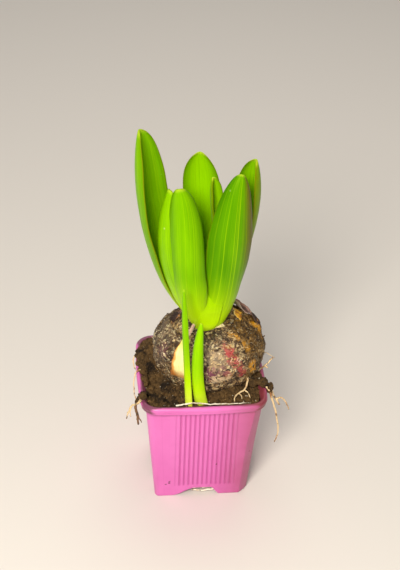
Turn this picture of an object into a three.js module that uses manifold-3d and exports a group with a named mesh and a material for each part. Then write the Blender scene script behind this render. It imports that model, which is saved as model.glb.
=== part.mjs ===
// A hyacinth bulb in leaf, growing in a small square nursery pot.
// Millimetres, +Z up. The shapes are worked out on the pot's own axis, with the table at z = 0, the front of
// the pot towards -Y and its right-hand side towards +X. At the end the whole plant is moved so that the
// origin is the middle of its bounding box, on the table.
import * as THREE from "three";
import { mergeVertices } from "three/addons/utils/BufferGeometryUtils.js";
import Module from "manifold-3d";

const wasm = await Module();
wasm.setup();

// ---------------------------------------------------------------- driving dimensions
const GAP = 0.3; // clearance between pieces that touch

// The pot: a thin moulded shell, square with cut corners, wider at the top.
const POT = {
  height: 70.5,
  rimHalf: 35, // half the width over the lip
  rimCorner: 10, // radius of the lip's corners
  rimBow: 0.9, // how far each side of the lip bows out
  lipHeight: 4.6,
  lipInner: 33, // half the width between the inner edges of the lip
  topHalf: 32, // half the width over the wall, just under the lip
  footHalf: 26.6, // the same at the table
  // size of the flat cut across each corner of the wall, from the back right round to the front right
  topCorners: [4, 4, 4, 4],
  dentCorners: [4.5, 4.5, 2.9, 5.7], // the front right corner is pushed in a little at this height
  footCorners: [5, 5, 2.2, 5],
  dentAt: 38,
  wall: 1,
  floorTop: 7.5, // height of the floor inside
  floorUnder: 6.3,
  // the arch in each side's foot climbs gently from the left and falls steeply on the right
  arch: { from: -16.7, topFrom: -3.5, topTo: 5.3, to: 10.4, height: 5.2 },
  holeRadius: 3.2,
  holeSpacing: 14,
};

// The ribs: fine upright grooves down the right-hand part of each side.
const RIBS = {
  count: 14,
  from: -15.4,
  to: 18.7,
  width: 1.1,
  depth: 0.35,
  bottom: 8, // height of their lower ends
};

// The bulb: a squat globe, its crown flattened where the leaves stand.
const BULB = { x: 4.5, y: 3, z: 85.9, radiusX: 31.9, radiusY: 28.2, up: 20.8, down: 26.6, power: 0.86 };

// The compost: nearly level, a little higher against the bulb and heaped in the back left corner.
const SOIL = { level: 67.6, collar: 4.4, heap: 10, heapX: -26, heapY: 15, heapSpread: 8, lumps: 0.7 };

// ---------------------------------------------------------------- helpers
const vec = (x, y, z) => new THREE.Vector3(x, y, z);
const mix = (a, b, t) => a + (b - a) * t;
const clamp01 = (x) => Math.min(1, Math.max(0, x));
const smooth = (a, b, x) => {
  const t = clamp01((x - a) / (b - a));
  return t * t * (3 - 2 * t);
};
const deg = Math.PI / 180;

// A closed mesh from rings of points, each ring a list of Vector3 of the same length. The first and the last
// ring are closed with a fan round their middle. A ring bent like a letter C has its middle outside itself,
// so it is closed in strips instead, each point i joined to its partner: strips is the sum of the two.
function loft(rings, strips = null) {
  const n = rings[0].length;
  const middle = (ring) => ring.reduce((sum, p) => sum.add(p), vec(0, 0, 0)).divideScalar(n);
  const points = rings.flat();
  const faces = [];
  for (let i = 0; i + 1 < rings.length; i++)
    for (let j = 0; j < n; j++) {
      const a = i * n + j;
      const b = i * n + ((j + 1) % n);
      faces.push(a, b, b + n, a, b + n, a + n);
    }
  const last = (rings.length - 1) * n;
  if (strips === null) {
    points.push(middle(rings[0]), middle(rings.at(-1)));
    for (let j = 0; j < n; j++) {
      faces.push(points.length - 2, (j + 1) % n, j);
      faces.push(points.length - 1, last + j, last + ((j + 1) % n));
    }
  } else {
    for (let j = 0; j + 1 <= strips - j - 1; j++) {
      const [a, b, c, d] = [j, j + 1, (strips - j - 1) % n, (strips - j) % n];
      for (const [p, q, r] of [[a, b, c], [a, c, d]]) {
        if (p === q || q === r || r === p) continue;
        faces.push(p, r, q, last + p, last + q, last + r);
      }
    }
  }
  return new THREE.BufferGeometry().setFromPoints(points).setIndex(faces);
}

// A geometry as a manifold-3d solid, and back.
function solid(geometry) {
  const bare = new THREE.BufferGeometry()
    .setAttribute("position", geometry.getAttribute("position"))
    .setIndex(geometry.getIndex());
  const merged = mergeVertices(bare, 1e-4);
  const made = new wasm.Manifold(
    new wasm.Mesh({
      numProp: 3,
      vertProperties: new Float32Array(merged.attributes.position.array),
      triVerts: new Uint32Array(merged.index.array),
    }),
  );
  return made;
}

function geometryOf(manifold) {
  const mesh = manifold.getMesh();
  return new THREE.BufferGeometry()
    .setAttribute("position", new THREE.BufferAttribute(mesh.vertProperties, 3))
    .setIndex(new THREE.BufferAttribute(mesh.triVerts, 1));
}

// The largest body of a solid, because a cut can leave a sliver beside it.
const largest = (manifold) =>
  manifold.decompose().reduce((a, b) => (b.volume() > a.volume() ? b : a));

const cutBy = (manifold, ...cutters) =>
  largest(cutters.reduce((m, c) => m.subtract(c), manifold).simplify(0.02));

const joined = (list) => list.reduce((a, b) => a.add(b));

// A smooth irregular number between -1 and 1, for ragged edges and lumps.
const WAVES = [
  { pace: 2.1, shift: 1.7, share: 1 },
  { pace: 4.7, shift: 2.9, share: 0.6 },
  { pace: 9.3, shift: 4.1, share: 0.35 },
];
const wobble = (x, seed) =>
  WAVES.reduce((sum, { pace, shift, share }) => sum + share * Math.sin(x * pace + seed * shift), 0) / 1.95;

// ---------------------------------------------------------------- pot
// One level of the pot: a square whose corners are cut flat (round = 0) or rounded (round = 1). The size of
// the corners is one number, or a list of four.
const CORNER_STEPS = 4;
const SIDE_STEPS = 4;

function squareRing(z, half, corners, round = 0, bow = 0) {
  const ring = [];
  const size = (quarter) => (Array.isArray(corners) ? corners[quarter % 4] : corners);
  for (let quarter = 0; quarter < 4; quarter++) {
    const corner = size(quarter);
    const inner = half - corner;
    const next = half - size(quarter + 1);
    const c = Math.cos((quarter * Math.PI) / 2);
    const s = Math.sin((quarter * Math.PI) / 2);
    const put = (x, y) => ring.push(vec(x * c - y * s, x * s + y * c, z));
    for (let i = 0; i <= CORNER_STEPS; i++) {
      const u = i / CORNER_STEPS;
      const a = (u * Math.PI) / 2;
      put(
        mix(mix(half, inner, u), inner + corner * Math.cos(a), round),
        mix(mix(inner, half, u), inner + corner * Math.sin(a), round),
      );
    }
    for (let i = 1; i < SIDE_STEPS; i++) {
      const u = i / SIDE_STEPS;
      put(mix(inner, -next, u), half + bow * 4 * u * (1 - u));
    }
  }
  return ring;
}

const lipBottom = POT.height - POT.lipHeight;
const wallHalf = (z) => mix(POT.footHalf, POT.topHalf, z / lipBottom);
const wallCorner = (z) =>
  POT.dentCorners.map((dent, i) =>
    z < POT.dentAt
      ? mix(POT.footCorners[i], dent, z / POT.dentAt)
      : mix(dent, POT.topCorners[i], (z - POT.dentAt) / (lipBottom - POT.dentAt)),
  );

// The arch in a foot, as a height over the table at a distance x to the right of the middle of its side.
function archAt(x) {
  const { from, topFrom, topTo, to, height } = POT.arch;
  return height * Math.min(smooth(from, topFrom, x), 1 - smooth(topTo, to, x));
}

// grow thickens the shell on both sides, for cutting the clearance out of whatever lies against it.
function potShell(grow = 0) {
  const g = grow;
  const inside = POT.wall + g;
  const body = solid(
    loft([
      squareRing(POT.floorUnder - g, wallHalf(POT.floorUnder) - inside, wallCorner(6)),
      squareRing(-g, wallHalf(0) - inside, wallCorner(0)),
      squareRing(-g, wallHalf(0) - 0.15 + g, wallCorner(0)),
      squareRing(0.3, wallHalf(0.3) + g, wallCorner(0)),
      squareRing(POT.dentAt, wallHalf(POT.dentAt) + g, wallCorner(POT.dentAt)),
      squareRing(lipBottom - g, wallHalf(lipBottom) + g, wallCorner(lipBottom)),
      squareRing(lipBottom - g, POT.rimHalf - 0.9 + g, POT.rimCorner, 1, POT.rimBow),
      squareRing(lipBottom + 0.9, POT.rimHalf + g, POT.rimCorner, 1, POT.rimBow),
      squareRing(POT.height - 1.2, POT.rimHalf + g, POT.rimCorner, 1, POT.rimBow),
      squareRing(POT.height - 0.3 + g, POT.rimHalf - 0.5 + g, POT.rimCorner - 0.4, 1, POT.rimBow),
      squareRing(POT.height + g, POT.rimHalf - 1.3 + g, POT.rimCorner - 1, 1, POT.rimBow),
      squareRing(POT.height + g, POT.lipInner - g, POT.rimCorner - 2, 1, POT.rimBow / 2),
      squareRing(POT.height - 2.4, POT.topHalf - inside + 0.1, POT.rimCorner - 4, 0.9, 0),
      squareRing(lipBottom - 4, wallHalf(lipBottom - 4) - inside, wallCorner(lipBottom), 0.2),
      squareRing(POT.dentAt, wallHalf(POT.dentAt) - inside, wallCorner(POT.dentAt)),
      squareRing(POT.floorTop + g, wallHalf(POT.floorTop) - inside, wallCorner(8)),
    ]),
  );
  return body;
}

// What the arch of the front foot takes away, from the middle of the pot outwards.
function archCutter() {
  const steps = 14;
  const { from, to } = POT.arch;
  const profile = (y) => {
    const line = [];
    for (let i = 0; i <= steps; i++) {
      const x = mix(to, from, i / steps);
      line.push(vec(x, y, archAt(x)));
    }
    return [...line, vec(from, y, -1), vec(to, y, -1)];
  };
  return solid(loft([profile(0), profile(-40)]));
}

function groove(index) {
  const section = (z, x) => {
    const y = -wallHalf(z);
    const w = RIBS.width / 2;
    return [vec(x - w, y - 0.1, z), vec(x + w, y - 0.1, z), vec(x, y + RIBS.depth, z)];
  };
  const x = mix(RIBS.from, RIBS.to, index / (RIBS.count - 1));
  return solid(loft([section(RIBS.bottom, x), section(lipBottom - 0.6, x)]));
}

function potGeometry() {
  const cutters = [];
  const side = joined([archCutter(), ...Array.from({ length: RIBS.count }, (_, i) => groove(i))]);
  for (const turn of [0, 90, 180, 270]) cutters.push(side.rotate([0, 0, turn]));
  const s = POT.holeSpacing;
  const drill = wasm.Manifold.cylinder(4, POT.holeRadius, POT.holeRadius, 12);
  for (const [x, y] of [[0, 0], [s, s], [-s, s], [-s, -s], [s, -s]])
    cutters.push(drill.translate([x, y, POT.floorUnder - 1]));
  return cutBy(potShell(), ...cutters);
}

// ---------------------------------------------------------------- leaves
// A strap leaf is a channel that follows its keel, the line along the bottom of the channel. The keel is a
// cubic Bezier from base to tip. Its cross-section is an arc of a circle, width long and turning through fold,
// that opens in the direction facing (degrees round from +X). At the tip the blade closes like the bow of a
// boat. Its foot goes on down into the bulb by sunk.
const LEAF_RINGS = 14;
const LEAF_SIDES = 12;

function leafWidth(leaf, t) {
  const grown = mix(leaf.baseWidth, leaf.width, smooth(0, leaf.widestAt, t));
  const x = clamp01((t - leaf.taperFrom) / (1 - leaf.taperFrom));
  return grown * Math.sqrt(Math.max(0, 1 - Math.pow(x, leaf.tipPower)));
}

function leafFold(leaf, t) {
  const [base, middle, tip] = leaf.fold;
  return (t < 0.5 ? mix(base, middle, smooth(0, 0.5, t)) : mix(middle, tip, smooth(0.5, 1, t))) * deg;
}

// The frame of the blade at t: where the keel is, which way the channel opens, and the direction across it.
function leafFrame(leaf, t) {
  const [base, lower, upper, tip] = leaf.keel.map((p) => vec(...p));
  const keel = new THREE.CubicBezierCurve3(base, lower, upper, tip);
  const tangent = keel.getTangent(Math.min(t, 0.999)).normalize();
  const facing = mix(leaf.facing[0], leaf.facing[1], t) * deg;
  const inward = vec(Math.cos(facing), Math.sin(facing), 0);
  inward.addScaledVector(tangent, -inward.dot(tangent)).normalize();
  return { point: keel.getPoint(t), tangent, inward, across: tangent.clone().cross(inward) };
}

function leafRing(leaf, t, grow, sink = 0) {
  const { point, tangent, inward, across } = leafFrame(leaf, t);
  point.addScaledVector(tangent, -sink);
  const fold = leafFold(leaf, t);
  const width = leafWidth(leaf, t);
  const radius = width / fold;
  const half = Math.min((leaf.thickness * mix(1, 0.5, t)) / 2, 0.25 * width) + grow;
  const ring = [];
  for (let i = 0; i < LEAF_SIDES; i++) {
    const turn = (-2 * Math.PI * i) / LEAF_SIDES;
    const angle = ((-Math.cos(turn) * fold) / 2) * (1 + grow / Math.max((radius * fold) / 2, 1));
    const side = Math.sin(turn);
    const off = half * Math.pow(Math.abs(side), 0.6);
    const r = side > 0 ? radius + off : Math.max(radius - off, 0.12 * radius);
    ring.push(
      point
        .clone()
        .addScaledVector(across, r * Math.sin(angle))
        .addScaledVector(inward, radius - r * Math.cos(angle)),
    );
  }
  return ring;
}

function leafGeometry(leaf, grow = 0) {
  const rings = leaf.sunk ? [leafRing(leaf, 0, grow, leaf.sunk + grow)] : [];
  for (let i = 0; i <= LEAF_RINGS; i++) {
    const t = 1 - Math.pow(1 - i / LEAF_RINGS, 1.35);
    rings.push(leafRing(leaf, Math.min(t, 0.99), grow));
  }
  return loft(rings, LEAF_SIDES);
}

// The leaves, from the front of the rosette round.
const LEAVES = {
  leaf_right_front: {
    keel: [[4.9, -9, 105.9], [17.2, -9.9, 122], [11.6, -22.8, 177.1], [17.4, -8, 198]],
    width: 29.8, baseWidth: 34, widestAt: 0.35, taperFrom: 0.6, tipPower: 1.15,
    fold: [179, 119, 140], facing: [120, 91], thickness: 2.2, sunk: 3,
  },
  leaf_left_front: {
    keel: [[-2.1, -8, 107], [-15.8, -19, 134.9], [-9.5, -18, 159.8], [-14.5, -10, 191.6]],
    width: 23.3, baseWidth: 13.1, widestAt: 0.35, taperFrom: 0.7, tipPower: 2.5,
    fold: [90, 130, 170], facing: [54, 81], thickness: 2.2, sunk: 4,
  },
  leaf_left_behind: {
    keel: [[-5.8, -4, 107], [-20.5, -8, 132.7], [-28.5, -6, 154.3], [-18.8, -2, 187]],
    width: 23.8, baseWidth: 12.1, widestAt: 0.35, taperFrom: 0.59, tipPower: 2.2,
    fold: [90, 110, 140], facing: [26, 22], thickness: 2, sunk: 4,
  },
  leaf_tall_left: {
    keel: [[-6.1, 5, 107], [-24.6, 9, 126.9], [-37, 14, 175.2], [-33.3, 8, 217.1]],
    width: 32.4, baseWidth: 13.2, widestAt: 0.4, taperFrom: 0.6, tipPower: 2.25,
    fold: [110, 150, 180], facing: [-27, -36], thickness: 2, sunk: 4,
  },
  leaf_back: {
    keel: [[2.6, 10, 107], [3.2, 19, 137.1], [1.9, 27, 172.1], [-1.6, 18, 197.6]],
    width: 23.4, baseWidth: 14, widestAt: 0.35, taperFrom: 0.69, tipPower: 2.8,
    fold: [110, 110, 110], facing: [-87, -106], thickness: 2, sunk: 4,
  },
  leaf_right_back: {
    keel: [[9.6, 4, 107], [19.7, 9, 139.4], [32.4, 12, 167.3], [26.2, 6, 198.9]],
    width: 26.5, baseWidth: 14, widestAt: 0.4, taperFrom: 0.6, tipPower: 3,
    fold: [110, 150, 180], facing: [207, 208], thickness: 2, sunk: 4,
  },
  leaf_young_inner: {
    keel: [[3, 1, 107], [13.1, 4, 138.7], [3.3, 6, 172.5], [3.9, 2, 191.3]],
    width: 12.5, baseWidth: 12, widestAt: 0.35, taperFrom: 0.68, tipPower: 2.2,
    fold: [170, 170, 170], facing: [-31, -33], thickness: 1.8, sunk: 4,
  },
};

// Two narrow shoots of small side bulbs, which come up through the compost in front of the bulb.
const OFFSET_SHOOTS = {
  offset_shoot_long: {
    keel: [[-8.6, -28.4, 63], [-10, -30.2, 90], [-12, -30, 115], [-12.4, -24.5, 144]],
    width: 4.2, baseWidth: 4.4, widestAt: 0.5, taperFrom: 0.7, tipPower: 1.6,
    fold: [80, 90, 100], facing: [60, 60], thickness: 1.6, sunk: 2,
  },
  offset_shoot_short: {
    keel: [[-0.6, -27.6, 63], [-6, -31.4, 83], [-6, -32.2, 104], [-3, -27, 121]],
    width: 7.2, baseWidth: 7.6, widestAt: 0.5, taperFrom: 0.5, tipPower: 1.7,
    fold: [100, 110, 120], facing: [80, 70], thickness: 1.7, sunk: 2,
  },
};

// ---------------------------------------------------------------- bulb and its skins
// A place on the globe at an azimuth and a latitude (degrees), standing out from it by `out`. The left half
// is drawn in, because the loose outer skin lies over it, and a shallow cleft runs down its front.
const CLEFT = { azimuth: -117, halfWidth: 16, depth: 1.6 };
const SKIN_SHARE = 1.4;

function bulbPoint(azimuth, latitude, out = 0) {
  const a = azimuth * deg;
  const l = latitude * deg;
  const left = smooth(0.1, 0.7, -Math.cos(a)) * smooth(-60, -20, latitude) * (1 - smooth(60, 80, latitude));
  let turn = azimuth - CLEFT.azimuth;
  turn -= 360 * Math.round(turn / 360);
  const cleft = CLEFT.depth * Math.exp(-((turn / CLEFT.halfWidth) ** 2)) * smooth(-40, 0, latitude);
  const grown = out - SKIN_SHARE * left - cleft + 0.5 * wobble(a * 1.0, 3) * Math.cos(l);
  const round = Math.pow(Math.cos(l), BULB.power);
  return vec(
    BULB.x + (BULB.radiusX + grown) * round * Math.cos(a),
    BULB.y + (BULB.radiusY + grown) * round * Math.sin(a),
    BULB.z + ((l > 0 ? BULB.up : BULB.down) + grown) * Math.sin(l),
  );
}

function bulbGeometry(grow = 0) {
  const rings = [];
  for (let latitude = -78; latitude <= 78; latitude += 12) {
    const ring = [];
    for (let i = 0; i < 30; i++) ring.push(bulbPoint(i * 12, latitude, grow));
    rings.push(ring);
  }
  return loft(rings);
}

// A thin piece of dry skin lying on the bulb, between two azimuths and two latitudes. Its edges are ragged,
// its right-hand side can stand further off the bulb, and its top can lift away like a torn flake.
function skinGeometry(skin, grow = 0) {
  const { azimuth, latitude, thickness, seed } = skin;
  const { stand = GAP, ragged = 0, curl = 0, standRight = 0, narrow = 0, slant = 0, steps = 8 } = skin;
  const rings = [];
  for (let row = 0; row <= steps; row++) {
    const v = row / steps;
    const l = mix(latitude[0] - 2 * grow, latitude[1] + 2 * grow, v);
    const shrink = narrow * v - 2 * grow;
    const from = azimuth[0] + ragged * wobble(v * 3, seed) + shrink;
    const to = azimuth[1] + slant * (v - 0.5) + ragged * wobble(v * 3, seed + 5) - shrink;
    const at = (u, outside) => {
      const edge = Math.pow(Math.sin(Math.PI * mix(0.06, 0.94, u)), 0.5);
      const body = thickness * edge * mix(1, 0.6, v) + 0.1;
      const off = stand + curl * v * v + standRight * smooth(0.7, 1, u) + (outside ? body + grow : -grow);
      const torn = v > 0.5 ? ragged * 0.5 * wobble(u * 4, seed + 9) : 0;
      return bulbPoint(mix(from, to, u), l + torn, off);
    };
    const ring = [];
    for (let i = 0; i <= steps; i++) ring.push(at(i / steps, true));
    for (let i = steps; i >= 0; i--) ring.push(at(i / steps, false));
    rings.push(ring);
  }
  return loft(rings, 2 * steps + 1);
}

const SKINS = {
  // the loose grey-brown outer skin over the left half, its front edge torn along the cleft
  tunic_flap_left: {
    azimuth: [-236, -138], latitude: [-42, 50], thickness: 1, stand: 0.55,
    ragged: 2, standRight: 0.8, slant: 3, seed: 2, steps: 10,
  },
  // the pale fleshy scale laid bare in the cleft
  fleshy_scale: {
    azimuth: [-136, -110], latitude: [-13, 50], thickness: 0.9, stand: 0.45,
    ragged: 1, seed: 4, steps: 8,
  },
  // dark papery shards and flakes standing round the crown on the right
  tunic_shard_right: {
    azimuth: [-2, 50], latitude: [26, 49], thickness: 0.6, stand: 0.5,
    curl: 2.2, ragged: 3, narrow: 5, seed: 1, steps: 6,
  },
  tunic_shard_pale: {
    azimuth: [28, 54], latitude: [52, 66], thickness: 0.6, stand: 0.5,
    curl: 2.6, ragged: 2, narrow: 3, seed: 6, steps: 5,
  },
  tunic_flake_orange: {
    azimuth: [-16, 22], latitude: [53, 67], thickness: 0.5, stand: 0.4,
    curl: 1.2, ragged: 3, narrow: 3, seed: 8, steps: 5,
  },
  // and one on the left
  tunic_shard_left: {
    azimuth: [-196, -166], latitude: [53, 74], thickness: 0.7, stand: 0.4,
    curl: 3.4, ragged: 3, narrow: 8, seed: 7, steps: 5,
  },
};

// The thin membrane that hugs the foot of the front leaf where it leaves the bulb.
function neckMembraneGeometry(leaf, grow = 0) {
  const rings = [];
  for (let row = 0; row <= 3; row++) {
    const t = row * 0.011;
    const shift = row === 0 ? -1.5 - grow : row === 3 ? grow : 0;
    const { point, tangent, inward, across } = leafFrame(leaf, t);
    point.addScaledVector(tangent, shift);
    const fold = leafFold(leaf, t);
    const radius = leafWidth(leaf, t) / fold;
    const near = radius + leaf.thickness / 2 + GAP - grow;
    const ring = [];
    for (const [list, r] of [[[6, 5, 4, 3, 2, 1, 0], near + 0.4 + 2 * grow], [[0, 1, 2, 3, 4, 5, 6], near]])
      for (const i of list) {
        const angle = (mix(-0.34, 0.44, i / 6) * (1 - 0.12 * row) + (grow / radius) * (i / 3 - 1)) * fold;
        ring.push(
          point
            .clone()
            .addScaledVector(across, r * Math.sin(angle))
            .addScaledVector(inward, radius - r * Math.cos(angle)),
        );
      }
    rings.push(ring);
  }
  return loft(rings, 13);
}

// ---------------------------------------------------------------- roots
// A root is a thin tube through its points, thinning from its first radius to its last.
function rootTube(path, radii, grow = 0, sides = 5) {
  const curve = new THREE.CatmullRomCurve3(path.map((p) => vec(...p)), false, "centripetal");
  const steps = (path.length - 1) * 2;
  const frames = curve.computeFrenetFrames(steps, false);
  const rings = [];
  for (let i = 0; i <= steps; i++) {
    const u = i / steps;
    const r = mix(radii[0], radii[1], u) + grow;
    const point = curve.getPointAt(u);
    if (i === 0) point.addScaledVector(frames.tangents[0], -grow);
    if (i === steps) point.addScaledVector(frames.tangents[steps], grow);
    rings.push(
      Array.from({ length: sides }, (_, k) => {
        const a = (-2 * Math.PI * k) / sides;
        return point
          .clone()
          .addScaledVector(frames.normals[i], r * Math.cos(a))
          .addScaledVector(frames.binormals[i], -r * Math.sin(a));
      }),
    );
  }
  return solid(loft(rings));
}

// A knot of compost and fine roots: a lumpy ball.
function lump([x, y, z], [rx, ry, rz], seed, grow = 0) {
  const ball = new THREE.IcosahedronGeometry(1, 1);
  const bare = new THREE.BufferGeometry().setAttribute("position", ball.getAttribute("position"));
  const made = mergeVertices(bare, 1e-4);
  const p = made.getAttribute("position");
  for (let i = 0; i < p.count; i++) {
    const [u, v, w] = [p.getX(i), p.getY(i), p.getZ(i)];
    const k = 1 + 0.13 * wobble(u * 1.6 + v * 1.1, seed) + 0.1 * wobble(w * 1.9, seed + 3);
    p.setXYZ(i, x + u * (rx * k + grow), y + v * (ry * k + grow), z + w * (rz * k + grow));
  }
  return solid(made);
}

// Each root is one or more joined tubes: [points, [first radius, last radius]].
const ROOTS = {
  root_left_loop: [
    [
      [[-29.5, 19, 70], [-33.2, 17.6, 71.9], [-36.4, 14.8, 69.6], [-36.9, 11.8, 67], [-36.2, 8.4, 65.6]],
      [0.5, 0.4],
    ],
  ],
  root_left_thin: [
    [
      [
        [-30, -0.4, 68.6], [-32.6, -0.8, 71.6], [-35.6, -1.8, 71.9], [-37.2, -4, 69],
        [-37.6, -7.6, 65.4], [-37.4, -11, 63], [-36.4, -19, 62.6],
      ],
      [0.45, 0.35],
    ],
  ],
  root_left_pale: [
    [
      [[-34.8, -27.6, 71.6], [-37.2, -27, 68.6], [-39.7, -24, 65], [-41, -22.9, 61], [-42.4, -22.4, 55]],
      [0.7, 0.4],
    ],
    [[[-39.7, -24, 65], [-40.6, -25.4, 62], [-40.2, -26.4, 59.5]], [0.4, 0.25]],
  ],
  root_left_dark: [
    [
      [[-34.6, -24.6, 71.6], [-36.9, -25.6, 69], [-37.6, -25.4, 65], [-36.6, -24.8, 59], [-36, -24.6, 52.6]],
      [1, 0.7],
    ],
    [[[-36.9, -25, 62], [-35.6, -26, 58], [-34.4, -26.2, 55]], [0.55, 0.35]],
  ],
  root_right_up: [
    [[[28.6, -4.5, 68.4], [31.4, -4.5, 70.8], [34, -4.3, 72.5], [36.8, -4, 75], [40.6, -3, 79]], [0.75, 0.45]],
    [[[36.2, -4.1, 74.4], [37.2, -4.8, 73.6], [37.9, -5, 73.4]], [0.6, 0.4]],
  ],
  root_right_hair: [[[[34.6, 3, 78], [37, 0.6, 79.9], [39, -1.6, 79.9], [41.8, -3, 78.6]], [0.3, 0.3]]],
  root_right_long: [
    [
      [
        [33.4, -18.4, 72.6], [36.4, -20.6, 70], [38, -21.6, 65.4], [40.2, -22.6, 58],
        [41.9, -23, 49.6], [42.8, -23.4, 42], [41, -23.6, 35],
      ],
      [0.75, 0.4],
    ],
  ],
  root_right_fork: [
    [[[34.6, -16.6, 72.4], [37.6, -17, 69], [39.6, -17.4, 64], [41.3, -18, 61], [43, -19, 58.1]], [0.8, 0.6]],
    [
      [[41.3, -18, 61], [43.2, -17.8, 62], [44.9, -18, 61.8], [46.9, -19, 59.3], [48.7, -20, 55]],
      [0.65, 0.4],
    ],
  ],
  root_front: [
    [
      [
        [25, -14.5, 75.6], [24.4, -17.6, 73.2], [22.8, -20.4, 70.6],
        [19.4, -22.4, 70.2], [16.9, -25.6, 69.6], [16.3, -29, 68.6],
      ],
      [0.7, 0.4],
    ],
    [[[22.8, -20.4, 70.6], [24.6, -22.8, 70], [25.4, -26, 69]], [0.5, 0.35]],
    [[[19.4, -22.4, 70.2], [20.6, -24.6, 69.6], [20.8, -26.6, 69]], [0.4, 0.3]],
  ],
  root_on_rim: [
    [
      [
        [-15.7, -28.6, 68.6], [-11.3, -29.8, 69.2], [-5, -30, 69.3],
        [1, -30.1, 69.2], [7, -29.8, 68.8], [12, -29, 68.4],
      ],
      [0.6, 0.45],
    ],
  ],
  // through a drain hole and down behind the arch in the front foot
  roots_below: [
    [
      [
        [14, -14, 9.2], [14, -14.6, 5], [10.5, -20.5, 3.8],
        [4.4, -23.6, 3.2], [-3.6, -24, 3.3], [-9, -22.6, 3.9],
      ],
      [1.1, 0.7],
    ],
    [[[10.5, -20.5, 3.8], [8, -23.4, 2], [2, -24.6, 1.3], [-5, -23.8, 1.4]], [0.9, 0.6]],
  ],
};

const rootSolid = (tubes, grow = 0) => joined(tubes.map(([path, radii]) => rootTube(path, radii, grow)));

// Knots of compost hanging over the lip with the roots that hold them.
const CLODS = {
  clod_right: [
    [[28.5, -14.4, 71.4], [4.4, 3.4, 2.6]],
    [[33, -16.8, 73], [3.6, 3.6, 2.2]],
    [[37.2, -18.6, 70], [2.4, 3, 3.2]],
  ],
  clod_left: [
    [[-33.4, -24.6, 72.2], [2.6, 2.6, 1.9]],
    [[-36.6, -25.2, 69.6], [1.8, 2, 2.8]],
  ],
};

const clodSolid = (lumps, grow = 0) =>
  joined(lumps.map(([centre, radii], i) => lump(centre, radii, i + 2, grow)));

// ---------------------------------------------------------------- compost
function soilHeight(x, y) {
  const dx = (x - BULB.x) / 24;
  const dy = (y - BULB.y) / 21;
  const beyond = Math.max(0, Math.hypot(dx, dy) - 1) * 22;
  const fromHeap = (x - SOIL.heapX) ** 2 + (y - SOIL.heapY) ** 2;
  const heap = SOIL.heap * Math.exp(-fromHeap / (2 * SOIL.heapSpread ** 2));
  const leftGap = -3.2 * Math.exp(-((beyond / 2.4) ** 2)) * smooth(0.2, 0.8, -dx) * smooth(-0.6, 0.1, dy);
  const lumps = SOIL.lumps * (wobble(x * 0.33 + y * 0.21, 2) + wobble(y * 0.37 - x * 0.17, 5));
  return SOIL.level + SOIL.collar * Math.exp(-((beyond / 6) ** 2)) + heap + leftGap + lumps;
}

function soilFill() {
  const inside = (z) => wallHalf(Math.min(z, lipBottom)) - POT.wall - GAP - 0.05;
  const rings = [
    squareRing(POT.floorTop + GAP, inside(POT.floorTop) - 0.1, wallCorner(8)),
    squareRing(POT.dentAt, inside(POT.dentAt) - 0.1, wallCorner(POT.dentAt)),
    squareRing(lipBottom - 4, inside(lipBottom - 4) - 0.1, wallCorner(lipBottom), 0.2),
  ];
  const rim = squareRing(lipBottom, inside(lipBottom), 5.4, 0.9);
  for (let i = 0; i <= 9; i++) {
    const s = 1 - (i / 10) * 0.96;
    rings.push(rim.map((p) => vec(p.x * s, p.y * s, soilHeight(p.x * s, p.y * s))));
  }
  return solid(loft(rings));
}

// Compost that has spilled on to the lip.
const SPILLS = [
  [[-31.6, 12, 72.4], [4.2, 8.4, 3.4]],
  [[-31.8, 1, 71], [2.4, 5, 1.8]],
  [[-27, 20, 72], [6, 6, 5]],
  [[30.8, -9, 70.6], [3, 5, 2]],
];

// ---------------------------------------------------------------- the plant
const plant = new THREE.Group();
plant.name = "potted_hyacinth";

const finish = (color, roughness) =>
  new THREE.MeshStandardMaterial({ color, roughness, metalness: 0 });

function add(name, manifold, material) {
  const mesh = new THREE.Mesh(geometryOf(manifold), material);
  mesh.name = name;
  plant.add(mesh);
}

const grown = {}; // what each piece takes out of its neighbours
const pieces = {};

grown.pot = potShell(GAP);
for (const [name, leaf] of Object.entries({ ...LEAVES, ...OFFSET_SHOOTS })) {
  pieces[name] = cutBy(solid(leafGeometry(leaf)), ...Object.values(grown));
  grown[name] = solid(leafGeometry(leaf, GAP));
}

pieces.neck_membrane = cutBy(
  solid(neckMembraneGeometry(LEAVES.leaf_right_front)),
  ...Object.keys(LEAVES).map((name) => grown[name]),
);
grown.neck_membrane = solid(neckMembraneGeometry(LEAVES.leaf_right_front, GAP));

for (const [name, tubes] of Object.entries(ROOTS)) {
  const { pot, ...others } = grown; // the roots are laid clear of the pot, or through its drain hole
  pieces[name] = cutBy(rootSolid(tubes), ...Object.values(others));
  grown[name] = rootSolid(tubes, GAP);
}

const bulbGrown = solid(bulbGeometry(GAP));
for (const [name, skin] of Object.entries(SKINS)) {
  pieces[name] = cutBy(solid(skinGeometry(skin)), ...Object.values(grown), bulbGrown);
  grown[name] = solid(skinGeometry(skin, GAP));
}

const sunkIn = Object.keys(grown).filter((name) => !(name in SKINS));
pieces.bulb = cutBy(solid(bulbGeometry()), ...sunkIn.map((name) => grown[name]));
grown.bulb = bulbGrown;

for (const [name, lumps] of Object.entries(CLODS)) {
  pieces[name] = cutBy(clodSolid(lumps), ...Object.values(grown));
  grown[name] = clodSolid(lumps, GAP);
}

const heaps = joined([soilFill(), ...SPILLS.map(([centre, radii], i) => lump(centre, radii, i + 7))]);
pieces.soil = cutBy(heaps, ...Object.values(grown));
pieces.pot = potGeometry();

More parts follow.
